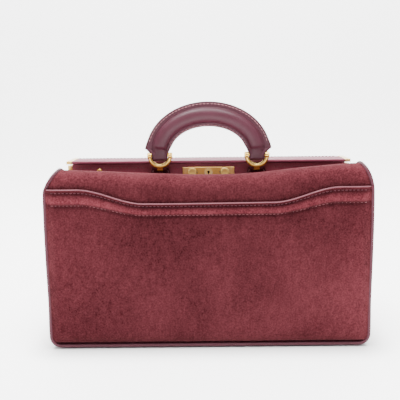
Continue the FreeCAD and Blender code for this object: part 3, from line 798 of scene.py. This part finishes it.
def body_face(x, z):
    """How far in front of the hinge line the suede behind the pocket is."""
    grid = suede_grid(1)
    c = int(np.argmin(np.abs(grid[60, :, 0] - x)))
    return HINGE_Y - np.interp(z, grid[3:70, c, 2], grid[3:70, c, 1])


# How far the pocket stands out from the body, at distances below the binding: drawn in along the two stitch
# lines, with a puffed band between them that hangs over the lower line.
BAND_PROFILE = smooth_curve([(-0.004, 0.0026), (0.0, 0.0026), (BAND_TOP, 0.0012), (0.0048, 0.0026),
                             (0.0085, 0.0044), (0.0112, 0.0046), (0.0128, 0.0032), (BAND_BOTTOM, 0.0012),
                             (0.0158, 0.0021), (0.022, 0.0028), (0.050, 0.0042), (0.200, 0.0044)], 600)
# Painted light and shade at the same distances, partly nap rubbed bare: lighter on the puffed band, where light
# from above falls, and darker along the stitch lines, where the creases lie in shade
BAND_RUB_AND_SHADE = smooth_curve([(-0.004, 0.0), (0.0, -0.1), (BAND_TOP, -0.50), (0.0050, 0.05), (0.0085, 0.62),
                         (0.0112, 0.48), (0.0130, -0.55), (BAND_BOTTOM, -0.50), (0.0158, -0.20), (0.0220, -0.02),
                         (0.0500, 0.0), (0.2000, 0.0)], 600)


def pocket_depth(below, above_base, edge):
    """How far the pocket stands out from the body; it comes in to the body at its base and its sides."""
    depth = np.interp(below, BAND_PROFILE[:, 0], BAND_PROFILE[:, 1])
    depth = 0.0012 + (depth - 0.0012) * step(above_base, 0.0, 0.014)
    return 0.0010 + (depth - 0.0010) * step(edge, 0.0, 0.010)


def pocket_point(x, z):
    below = (float(pocket_edge(x)) - BINDING - z) / float(band_scale(x))
    edge = SUEDE_HALF - abs(x)
    depth = float(pocket_depth(below, z - PANEL_BOTTOM, edge)) + waves(x, 0.4, z, 0.05) * 0.0005
    return np.array([x, HINGE_Y - body_face(x, z) - depth, z])


class BAG_OT_pocket(bpy.types.Operator):
    """Outside slip pocket with its wavy bound edge and two rows of stitches."""

    bl_idname = "bag.pocket"
    bl_label = "Outside pocket"

    def execute(self, context):
        xs = np.linspace(-1, 1, 200)
        rows = 96
        shares = 1 - (1 - np.linspace(0, 1, rows)) ** 1.7
        grid = np.zeros((rows, len(xs), 3))
        for c, share in enumerate(xs):
            top = float(pocket_edge(share * SUEDE_HALF)) - BINDING * 0.5
            for r, up in enumerate(shares):
                z = PANEL_BOTTOM + 0.0015 + (top - PANEL_BOTTOM - 0.0015) * up
                grid[r, c] = pocket_point(share * float(half_width(z)) * 0.999, z)
        verts, faces = closed_sheet(grid, POCKET_T)
        panel = mesh_object("pocket_suede", verts, faces, "suede")
        below = (pocket_edge(grid[:, :, 0]) - BINDING - grid[:, :, 2]) / band_scale(grid[:, :, 0])
        # Painted light on the pocket's puffed band and towards its sides, painted shade along its stitch lines,
        # partly rubbed nap
        store_rub_and_shade(panel, np.interp(below, BAND_RUB_AND_SHADE[:, 0], BAND_RUB_AND_SHADE[:, 1]) + side_painted_light(grid))
        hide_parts("pocket_panel", "pocket_seam_strip")
        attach(panel, "bag")

        edge = [pocket_point(x, float(pocket_edge(x)) - BINDING * 0.55) for x in xs * SUEDE_HALF * 0.997]
        verts, faces = tube(smooth_curve(edge, 420), 0.0006, 10)
        # The binding's lighter finish is a painted highlight along its edge
        binding = mesh_object("pocket_edge_binding", verts, faces, "welt")
        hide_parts("pocket_binding")
        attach(binding, "bag")

        for name, below, width, finish in (("pocket_edge_stitches", BAND_TOP, 0.0006, "edging"),
                                           ("pocket_band_stitches", BAND_BOTTOM, 0.0008, "thread")):
            path = [pocket_point(x, float(pocket_edge(x)) - BINDING - below * float(band_scale(x)))
                    for x in np.linspace(-0.975, 0.975, 300) * SUEDE_HALF]
            row = stitch_row(path, (0.0, -1.0, 0.0), width)
            stitches = mesh_object(name, *merge(row), finish)
            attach(stitches, "bag")
        return {"FINISHED"}


# Gussets

FOLD_X = GUSSET_X - 0.0016
GUSSET_TOP = high("right_gusset").z
NOTCH_Z = GUSSET_TOP + 0.004
LEATHER_T, FOLD_T = 0.0010, 0.0007


def sided(grid, side):
    """A grid made for the right side, or its mirror image with its outer side still out."""
    if side > 0:
        return grid
    grid = grid[:, ::-1].copy()
    grid[:, :, 0] *= -1
    return grid


class BAG_OT_gussets(bpy.types.Operator):
    """Smooth leather sides: a lower panel, and upper folds in a front and a back half."""

    bl_idname = "bag.gussets"
    bl_label = "Gussets"

    def execute(self, context):
        for name, side in SIDES:
            self.lower_panel(name, side)
            for half, front, jaw in JAWS:
                self.fold(name + "_" + half, side, front, jaw)
            self.centre(name, side)
        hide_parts("left_gusset_fold")
        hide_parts("right_gusset_fold")
        return {"FINISHED"}

    def lower_panel(self, name, side):
        half = PANEL_FACE - 0.0030
        ys, zs = np.linspace(-half, half, 70), np.linspace(PANEL_BOTTOM, GUSSET_TOP, 80)
        grid = np.zeros((len(zs), len(ys), 3))
        for r, z in enumerate(zs):
            for c, y in enumerate(ys):
                edge = min(1.0, (half - abs(y)) / 0.016, (z - PANEL_BOTTOM) / 0.012)
                crease = math.exp(-(y / 0.006) ** 2) * step(z, 0.060, 0.120)
                sink = -0.0006 * math.sin(math.pi * r / (len(zs) - 1)) * edge - 0.0006 * crease
                wave = waves(y, z, side * 0.3, 0.04) * 0.0005 * edge
                grid[r, c] = (GUSSET_X + sink + wave + 0.0004, HINGE_Y + y, z)
        verts, faces = closed_sheet(sided(grid, side), LEATHER_T)
        panel = mesh_object(name + "_gusset_leather", verts, faces, "leather")
        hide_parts(name + "_gusset")
        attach(panel, "bag")
        x = side * (GUSSET_X + 0.0004)
        path = [(x, HINGE_Y + y, GUSSET_TOP - 0.0028) for y in np.linspace(-half + 0.003, half - 0.003, 60)]
        hem = mesh_object(name + "_gusset_stitches", *merge(stitch_row(path, (side, 0.0, 0.0))), "thread")
        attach(hem, "bag")

    def fold(self, name, side, front, jaw):
        """Half of the upper gusset, from the pivot's height up. The back half rises to the suede's edge. The
        front half follows only the seam's last point, so its top is level and stops below the shoulder."""
        column = seam_path(front, side)
        over = column[np.argmax(column[:, 1] * front):] if front > 0 else column
        ahead = (HINGE_Y - over[:, 1]) * front
        order = np.argsort(ahead)
        across = np.linspace(0.0, PANEL_FACE - 0.0026, 44)
        edge = np.interp(across, ahead[order], over[order, 2])
        inner = JAW_FACE + 0.0030
        blend_in = step(across, inner - 0.002, inner + 0.003)
        valley = NOTCH_Z + (JAW_BOTTOM - 0.001 - NOTCH_Z) * np.clip(across / inner, 0, 1) ** 1.5
        tops = np.where(across > inner, edge - 0.0016, valley) * blend_in + valley * (1 - blend_in)
        tops = np.minimum(tops, np.where(across > inner, edge - 0.0012, tops))
        drawn = np.interp(across, ahead[order], (side * SUEDE_HALF - over[order, 0]) * side)
        drawn = np.where(across > inner, drawn, 0.005)
        drawn = 0.005 + (drawn - 0.005) * step(across, inner, inner + 0.006)
        grid = np.zeros((30, len(across), 3))
        for c, (y, top) in enumerate(zip(across, tops)):
            zs = np.linspace(GUSSET_TOP - 0.012, top, 30)
            for r, z in enumerate(zs):
                pleat = 0.0004 * math.sin(y / 0.0055) * step(z, GUSSET_TOP, GUSSET_TOP + 0.012)
                lean = drawn[c] * (max(z - GUSSET_TOP, 0.0) / (top - GUSSET_TOP)) ** 1.6
                grid[r, c] = (FOLD_X - 0.0004 + pleat - lean, HINGE_Y - front * y, z)
        if front > 0:
            grid = grid[:, ::-1]
        verts, faces = closed_sheet(sided(grid, side), FOLD_T)
        piece = mesh_object(name + "_fold", verts, faces, "leather")
        bend_with_jaw(piece)

    def centre(self, name, side):
        """The middle of the fold, which shows between its halves when the jaws are open."""
        radius, rings, spokes = 0.0125, 8, 25
        grid = np.zeros((rings, spokes, 3))
        for r in range(rings):
            for c, angle in enumerate(np.linspace(-0.35, math.pi + 0.35, spokes)):
                reach = radius * (0.25 + 0.75 * r / (rings - 1))
                grid[r, c] = (FOLD_X - 0.0015, HINGE_Y + reach * math.cos(angle),
                              HINGE_Z + reach * math.sin(angle))
        verts, faces = closed_sheet(sided(grid, side), 0.0003)
        piece = mesh_object(name + "_gusset_centre", verts, faces, "leather")
        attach(piece, "bag")


# Handle

_, HANDLE_Y, PIN_Z = JOINTS["handle_swing"]["pos_m"]
ARCH_CENTRE = PIN_Z + 0.0030
CUT_Z = low("handle_core").z
HANDLE_HALF = high("handle_front_cover").x
OUTER_B = high("handle_front_cover").z - ARCH_CENTRE
INNER_A, INNER_B = 0.0388, 0.0266
ROLL_R = 0.0080
ROLL_DEPTH = (high("handle_back_cover").y - low("handle_front_cover").y) / 2
FLANGE_T = 0.0013
HANDLE_STEPS = 150
NECK_RINGS, NECK_DROP, TAB_DROP = 7, 0.0056, 0.0060


def arch_frame(angle):
    """Centre of the roll, its outward direction, and its reach to the outer and inner edges of the flange."""
    outer = np.array([HANDLE_HALF * math.cos(angle), OUTER_B * math.sin(angle)])
    inner = np.array([INNER_A * math.cos(angle), INNER_B * math.sin(angle)])
    outward = (outer - inner) / np.linalg.norm(outer - inner)
    middle = inner + outward * (ROLL_R + 0.0036)
    return middle, outward, np.linalg.norm(outer - middle), np.linalg.norm(middle - inner)


def handle_section(outer, inner, fullness):
    """Outline of the stitched handle: (outward, forward) points, from the outer edge round and back."""
    front = [(outer, 0.0002), (outer - 0.0001, FLANGE_T * 0.85), (outer - 0.0006, FLANGE_T)]
    front += [(ROLL_R + (outer - ROLL_R) * share, FLANGE_T * (1 - 0.12 * math.sin(math.pi * share)))
              for share in (0.7, 0.45, 0.25, 0.10)]
    for degrees in np.linspace(10, 170, 19):
        a = math.radians(degrees)
        forward = max(ROLL_DEPTH * fullness * math.sin(a) ** 0.92, FLANGE_T)
        front.append((ROLL_R * math.cos(a), forward))
    front += [(-ROLL_R - (inner - ROLL_R) * share, FLANGE_T) for share in (0.12, 0.4, 0.75)]
    front += [(-inner + 0.0004, FLANGE_T * 0.95), (-inner, FLANGE_T * 0.6), (-inner, 0.0002)]
    return front + [(n, -f) for n, f in front[::-1]]


def end_share(angle):
    """0 at the handle's ends and 1 along the rest of it."""
    return float(step(min(angle, math.pi - angle), 0.05, 0.30))


def handle_angles(count):
    start = math.asin((CUT_Z - ARCH_CENTRE) / (OUTER_B * 0.75))
    return np.linspace(start, math.pi - start, count)


def handle_point(angle, outward, forward):
    middle, direction, _, _ = arch_frame(angle)
    at = middle + direction * outward
    return np.array([at[0], HANDLE_Y - forward, ARCH_CENTRE + at[1]])


class BAG_OT_handle(bpy.types.Operator):
    """Rolled leather handle with a stitched flange along its outer and inner edges."""

    bl_idname = "bag.handle"
    bl_label = "Handle"

    def execute(self, context):
        angles = handle_angles(HANDLE_STEPS)
        rings = []
        for angle in angles:
            _, _, outer, inner = arch_frame(angle)
            share = end_share(angle)
            outer += 0.0012 * (1 - share)
            inner = ROLL_R + 0.0008 + (inner - ROLL_R - 0.0008) * (0.5 + 0.5 * share)
            fullness = 0.66 + 0.34 * float(step(min(angle, math.pi - angle), angles[0], angles[0] + 0.12))
            fullness *= 1 + 0.02 * waves(angle * 0.03, 0, 0, 0.01)
            rings.append([handle_point(angle, n, f) for n, f in handle_section(outer, inner, fullness)])
        rings = [*self.neck(rings[0], "right")[::-1], *rings, *self.neck(rings[-1], "left")]
        faces = capped_faces(len(rings), len(rings[0]))
        handle = mesh_object("handle_leather", np.array(rings).reshape(-1, 3), faces, "polished")
        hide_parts("handle_front_cover", "handle_back_cover", "handle_core", "left_handle_tab",
                    "right_handle_tab")
        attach(handle, "handle")

        rows = []
        for face in (1, -1):
            for inside in (False, True):
                path = []
                for angle in angles[7:-7]:
                    _, _, outer, inner = arch_frame(angle)
                    reach = -(inner + ROLL_R) / 2 - 0.0003 if inside else ROLL_R + (outer - ROLL_R) * 0.62
                    path.append(handle_point(angle, reach, face * FLANGE_T * 0.98))
                rows += stitch_row(path, (0.0, -face, 0.0), 0.0008)
        stitches = mesh_object("handle_stitches", *merge(rows), "pale thread")
        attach(stitches, "handle")
        return {"FINISHED"}

    def neck(self, ring, side):
        """The handle's end narrows from its last section to the tab that goes round the shackle's pin."""
        ring = np.array(ring)
        tab_low, tab_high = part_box(side + "_handle_tab")
        middle, tab = (ring[:, 0].max() + ring[:, 0].min()) / 2, (tab_low.x + tab_high.x) / 2
        narrow = (tab_high.x - tab_low.x + 0.0010) / (ring[:, 0].max() - ring[:, 0].min())
        across = np.clip((ring[:, 0] - middle) * 2 / (ring[:, 0].max() - ring[:, 0].min()), -1.0, 1.0)
        strap = np.sign(ring[:, 1] - HANDLE_Y) * (tab_high.y - tab_low.y + 0.0008) / 2 * np.sqrt(1 - across ** 8)
        made = []
        for share in np.linspace(0.12, 1.0, NECK_RINGS):
            near = share ** 0.8
            x = middle + (tab - middle) * near + (ring[:, 0] - middle) * (1 + (narrow - 1) * near)
            y = HANDLE_Y + (ring[:, 1] - HANDLE_Y) * (1 - near) + strap * near
            z = ring[:, 2] * (1 - share) + (CUT_Z - NECK_DROP) * share
            made.append(np.column_stack([x, y, z]))
        last = made[-1]
        for share in np.linspace(0.15, 1.0, NECK_RINGS + 3):
            round_off = math.sqrt(max(1 - (max(share - 0.45, 0.0) / 0.56) ** 2, 0.0))
            y = HANDLE_Y + (last[:, 1] - HANDLE_Y) * round_off
            made.append(np.column_stack([last[:, 0], y, last[:, 2] - TAB_DROP * share]))
        return made


# Frame

FLAP_LOW, FLAP_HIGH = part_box("top_flap_cover")
FLAP_EDGE_R = 0.0011


def rounded_outline(y0, y1, z0, z1, radius, crown):
    """A slab's section with round edges and a slightly crowned top: (y, z) points, in facing-out order."""
    points = []
    for cy, cz, start in ((y0, z0, 180), (y1, z0, 270), (y1, z1, 0), (y0, z1, 90)):
        oy = cy + (radius if cy == y0 else -radius)
        oz = cz + (radius if cz == z0 else -radius)
        for degrees in np.linspace(start, start + 90, 6):
            a = math.radians(degrees)
            points.append((oy + radius * math.cos(a), oz + radius * math.sin(a)))
        if (cy, cz) == (y1, z1):
            for share in np.linspace(0.06, 0.94, 18):
                points.append((y1 - radius - (y1 - y0 - 2 * radius) * share,
                               z1 + crown * math.sin(math.pi * share)))
    return points


class BAG_OT_top_flap(bpy.types.Operator):
    """Leather-covered flap along the top, with a line of stitches inside its edges."""

    bl_idname = "bag.top_flap"
    bl_label = "Top flap"

    def execute(self, context):
        outline = rounded_outline(FLAP_LOW.y, FLAP_HIGH.y, FLAP_LOW.z + 0.0001, FLAP_HIGH.z - 0.0002, FLAP_EDGE_R,
                                  0.00035)
        xs = np.linspace(FLAP_LOW.x, FLAP_HIGH.x, 120)
        rings = []
        for x in xs:
            rings.append([(x, y + waves(x, 0, 0.7, 0.06) * 0.0002, z + waves(x, y, 0.2, 0.05) * 0.00018)
                          for y, z in outline])
        faces = capped_faces(len(rings), len(outline))
        flap = mesh_object("top_flap_leather", np.array(rings).reshape(-1, 3), faces, "flap")
        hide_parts("top_flap_cover", "top_flap_core")
        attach(flap, "back_jaw")
        top = FLAP_HIGH.z + 0.0001
        inset, ends = 0.0028, 0.004
        path = [(x, FLAP_HIGH.y - inset, top) for x in np.linspace(FLAP_LOW.x + ends, FLAP_HIGH.x - ends, 90)]
        stitches = mesh_object("flap_stitches", *merge(stitch_row(path, (0.0, 0.0, 1.0), 0.0007)), "thread")
        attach(stitches, "back_jaw")
        return {"FINISHED"}


# The front jaw's stitches stop at the pads and at the lock, which reach this far out from the middle
PAD_OUTER, PAD_INNER, LOCK_HALF = 0.066, 0.034, 0.029


class BAG_OT_jaw_leather(bpy.types.Operator):
    """Stitches on the jaws' leather and round the pads under the shackles."""

    bl_idname = "bag.jaw_leather"
    bl_label = "Jaw leather"

    def execute(self, context):
        for name, front, jaw in JAWS:
            cover = name + "_jaw_cover"
            face = low(cover).y if front > 0 else high(cover).y
            ends = high(cover).x - 0.004
            height = high("lock_plate").z - 0.0002
            runs = [(-ends, ends)]
            if front > 0:
                runs = [(-ends, -PAD_OUTER), (-PAD_INNER, -LOCK_HALF), (LOCK_HALF, PAD_INNER), (PAD_OUTER, ends)]
            rows = []
            for x0, x1 in runs:
                path = [(x, face, height) for x in np.linspace(x0, x1, 60)]
                rows += stitch_row(path, (0.0, -front, 0.0), 0.0007)
            stitches = mesh_object(name + "_jaw_stitches", *merge(rows), "thread")
            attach(stitches, jaw)
        rows = []
        for name, _ in SIDES:
            pad_low, pad_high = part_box(name + "_leather_pad")
            middle = (pad_low.x + pad_high.x) / 2
            for way in (-1, 1):
                path = [(middle + way * (0.0112 - 0.0042 * t), pad_low.y, pad_low.z + 0.002 + 0.0115 * t)
                        for t in np.linspace(0, 1, 12)]
                rows += stitch_row(path, (0.0, -1.0, 0.0), 0.0008)
        stitches = mesh_object("pad_stitches", *merge(rows), "pale thread")
        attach(stitches, "front_jaw")
        return {"FINISHED"}


HEAD_R, HEAD_LENGTH, HEAD_INSET, SHAFT_R = 0.0030, 0.0024, 0.0034, 0.0019
HEAD_SIDES = 32


def knurled_head(x, y, z):
    """Points and faces of a screw's head: a short cylinder along X with a ridged edge."""
    turn = np.linspace(0, 2 * math.pi, HEAD_SIDES, endpoint=False)
    ridge = np.where(np.arange(HEAD_SIDES) % 2, 1.0, 0.93)
    rings = []
    for along, share in ((-0.5, 0.80), (-0.32, 1.0), (0.32, 1.0), (0.5, 0.80)):
        r = HEAD_R * share * (ridge if share == 1.0 else 0.97)
        rings.append(np.column_stack([np.full(HEAD_SIDES, x + along * HEAD_LENGTH), y + r * np.cos(turn),
                                      z + r * np.sin(turn)]))
    return np.vstack(rings), capped_faces(len(rings), HEAD_SIDES)


class BAG_OT_keyhole(bpy.types.Operator):
    """A dark piece inside the keyhole, a painted shade for the hole's depth, which turns with the plug."""

    bl_idname = "bag.keyhole"
    bl_label = "Keyhole"

    def execute(self, context):
        plug_low, plug_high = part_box("lock_plug")
        x, z = (plug_low.x + plug_high.x) / 2, (plug_low.z + plug_high.z) / 2
        path = [(x, plug_low.y + depth, z) for depth in np.linspace(0.0008, 0.0030, 6)]
        verts, faces = tube(path, 0.00129, 20)
        slot_path = [(x, plug_low.y + 0.0016, z - drop) for drop in np.linspace(0.0, 0.0029, 8)]
        shade = mesh_object("keyhole_shade", *merge([(verts, faces), tube(slot_path, 0.00058, 8)]), "dark")
        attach(shade, "key_plug")
        return {"FINISHED"}


class BAG_OT_screw_heads(bpy.types.Operator):
    """The pins that carry the handle, with a knurled head on each end."""

    bl_idname = "bag.screw_heads"
    bl_label = "Screw heads"

    def execute(self, context):
        for name, _ in SIDES:
            pin_low, pin_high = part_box(name + "_shackle_pin")
            y, z = (pin_low.y + pin_high.y) / 2, (pin_low.z + pin_high.z) / 2
            ends = (pin_low.x + HEAD_INSET, pin_high.x - HEAD_INSET)
            shaft = tube([(x, y, z) for x in np.linspace(*ends, 8)], SHAFT_R, 16)
            parts = [knurled_head(x, y, z) for x in ends] + [shaft]
            heads = mesh_object(name + "_screw_pin", *merge(parts), "gold", False)
            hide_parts(name + "_shackle_pin")
            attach(heads, "shackles")
        return {"FINISHED"}


BEVELS = {
    "front_jaw_cover": 0.0006, "back_jaw_cover": 0.0006, "left_leather_pad": 0.0003, "right_leather_pad": 0.0003,
    "lock_plate": 0.0002, "left_bracket": 0.0002, "right_bracket": 0.0002, "base_panel": 0.0006,
    "front_jaw_frame": 0.0003, "back_jaw_frame": 0.0003,
}
FINISHES = {
    "front_jaw_cover": "jaw", "back_jaw_cover": "jaw", "left_leather_pad": "leather",
    "right_leather_pad": "leather", "base_panel": "leather", "left_bracket": "leather",
    "right_bracket": "leather", "bracket_pins": "leather", "base_board": "board", "lock_case": "steel",
    "lock_plate": "brass", "lock_plug": "boss", "left_knob": "boss", "right_knob": "boss",
}
THICKER = {"left_shackle": 0.0006, "right_shackle": 0.0006}
CLOTH_NODES = ("lining_front", "lining_back", "lining_base", "lining_left", "lining_right")
STEEL_NODES = ("left_bolt", "right_bolt", "left_strike", "right_strike")


class BAG_OT_fittings(bpy.types.Operator):
    """Finishes for the frame's own parts: plated, brass, steel, leather, board and lining."""

    bl_idname = "bag.fittings"
    bl_label = "Fittings"

    def execute(self, context):
        for name, node in frame["nodes"].items():
            finish = FINISHES.get(name, "gold")
            if name in CLOTH_NODES:
                finish = "cloth"
            if name in STEEL_NODES:
                finish = "steel"
            node.data.materials.clear()
            node.data.materials.append(material(finish))
            if name in THICKER:
                swell = node.modifiers.new("Fuller bar", "DISPLACE")
                swell.strength, swell.mid_level = THICKER[name], 0.0
            if name in BEVELS:
                bevel = node.modifiers.new("Soft edges", "BEVEL")
                bevel.width, bevel.segments, bevel.limit_method = BEVELS[name], 2, "ANGLE"
                bevel.angle_limit = math.radians(50)
                bevel.use_clamp_overlap = True
        return {"FINISHED"}


# Stage

CAMERA_AT = (0.0019, -0.6799, 0.2425)
CAMERA_PITCH, CAMERA_ROLL = 0.152, 0.010
LENS = 57.6
SHIFT_X = -0.0241
GLOW, GLOW_REACH = 3.0, 0.045       # the floor's light, and how far from the bag it is full


def area_light(name, at, aim, size, power, color=(1.0, 1.0, 1.0)):
    light = bpy.data.lights.new(name, "AREA")
    light.shape, light.size, light.size_y = "RECTANGLE", size[0], size[1]
    light.energy, light.color = power, color
    lamp = bpy.data.objects.new(name, light)
    lamp.location = at
    lamp.rotation_euler = (Vector(aim) - Vector(at)).to_track_quat("-Z", "Y").to_euler()
    bpy.context.collection.objects.link(lamp)


class BAG_OT_stage(bpy.types.Operator):
    """Seamless pale floor and backdrop, which glows except near the bag, where its glow fades to a painted
    contact shadow; soft lights and the camera.
    """

    bl_idname = "bag.stage"
    bl_label = "Stage"

    def execute(self, context):
        rows = [(-3.0, 0.0), (1.2, 0.0)]
        rows += [(1.2 + 0.8 * math.sin(a), 0.8 - 0.8 * math.cos(a)) for a in np.linspace(0.1, math.pi / 2, 14)]
        rows += [(2.0, 3.5)]
        grid = np.array([[(x, y, z) for x in (-4.0, 4.0)] for y, z in rows])
        paper = bpy.data.materials.new("Backdrop")
        paper.use_nodes = True
        shader = paper.node_tree.nodes["Principled BSDF"]
        shader.inputs["Base Color"].default_value = (0.90, 0.90, 0.90, 1.0)
        shader.inputs["Roughness"].default_value = 0.9
        shader.inputs["Specular IOR Level"].default_value = 0.1
        shader.inputs["Emission Strength"].default_value = GLOW
        nodes = Nodes(paper.node_tree)
        where = nodes.add("ShaderNodeSeparateXYZ", {0: nodes.add("ShaderNodeTexCoord").outputs["Object"]})
        away = []
        for axis, reach in ((0, GUSSET_X - 0.010), (1, PANEL_FACE - 0.004)):
            beyond = nodes.math("SUBTRACT", nodes.math("ABSOLUTE", where.outputs[axis]), reach)
            away.append(nodes.math("POWER", nodes.math("MAXIMUM", beyond, 0.0), 2.0))
        away = nodes.math("SQRT", nodes.math("ADD", *away))
        # The glow fades to none under the bag and near it: a painted contact shadow
        nodes.link(nodes.ramp(away, 0.0, GLOW_REACH), shader.inputs["Emission Color"])
        built_materials["paper"] = paper
        floor = mesh_object("backdrop", grid.reshape(-1, 3), grid_faces(len(rows), 2), "paper")

        world = bpy.data.worlds.new("Studio")
        world.use_nodes = True
        world.node_tree.nodes["Background"].inputs[0].default_value = (1.0, 1.0, 1.0, 1.0)
        world.node_tree.nodes["Background"].inputs[1].default_value = 0.42
        bpy.context.scene.world = world
        area_light("Top light", (-0.1, -0.15, 1.5), (0, 0, 0.1), (1.5, 0.9), 84.0)
        area_light("Front light", (-0.5, -1.7, 1.1), (0, 0, 0.1), (1.4, 1.0), 5.0)
        area_light("Back light", (0.2, 1.1, 1.2), (0, 0, 0.15), (1.6, 0.6), 10.0)

        lens = bpy.data.cameras.new("Camera")
        lens.lens, lens.shift_x = LENS, SHIFT_X
        lens.clip_start = 0.01
        camera = bpy.data.objects.new("Camera", lens)
        camera.location = CAMERA_AT
        camera.rotation_euler = (math.pi / 2 - CAMERA_PITCH, CAMERA_ROLL, 0.0)
        bpy.context.collection.objects.link(camera)
        bpy.context.scene.camera = camera
        return {"FINISHED"}


class BAG_PT_sidebar(bpy.types.Panel):
    """Lists the bag's pieces in the order in which they are built."""

    bl_idname = "BAG_PT_sidebar"
    bl_label = "Doctor Bag"
    bl_space_type = "VIEW_3D"
    bl_region_type = "UI"
    bl_category = "Doctor Bag"

    def draw(self, context):
        for key in BagSettings.__annotations__:
            self.layout.prop(context.scene.bag_settings, key)
        for operator in OPERATORS:
            self.layout.operator(operator.bl_idname)


OPERATORS = (BAG_OT_suede_body, BAG_OT_piping, BAG_OT_pocket, BAG_OT_gussets, BAG_OT_handle, BAG_OT_top_flap,
             BAG_OT_jaw_leather, BAG_OT_keyhole, BAG_OT_screw_heads, BAG_OT_fittings, BAG_OT_stage)
CLASSES = (BagSettings, *OPERATORS, BAG_PT_sidebar)


def register():
    for item in CLASSES:
        bpy.utils.register_class(item)
    bpy.types.Scene.bag_settings = bpy.props.PointerProperty(type=BagSettings)


def unregister():
    del bpy.types.Scene.bag_settings
    for item in reversed(CLASSES):
        bpy.utils.unregister_class(item)


def main():
    register()
    for operator in OPERATORS:
        group, name = operator.bl_idname.split(".")
        getattr(getattr(bpy.ops, group), name)()


if __name__ == "__main__":
    main()
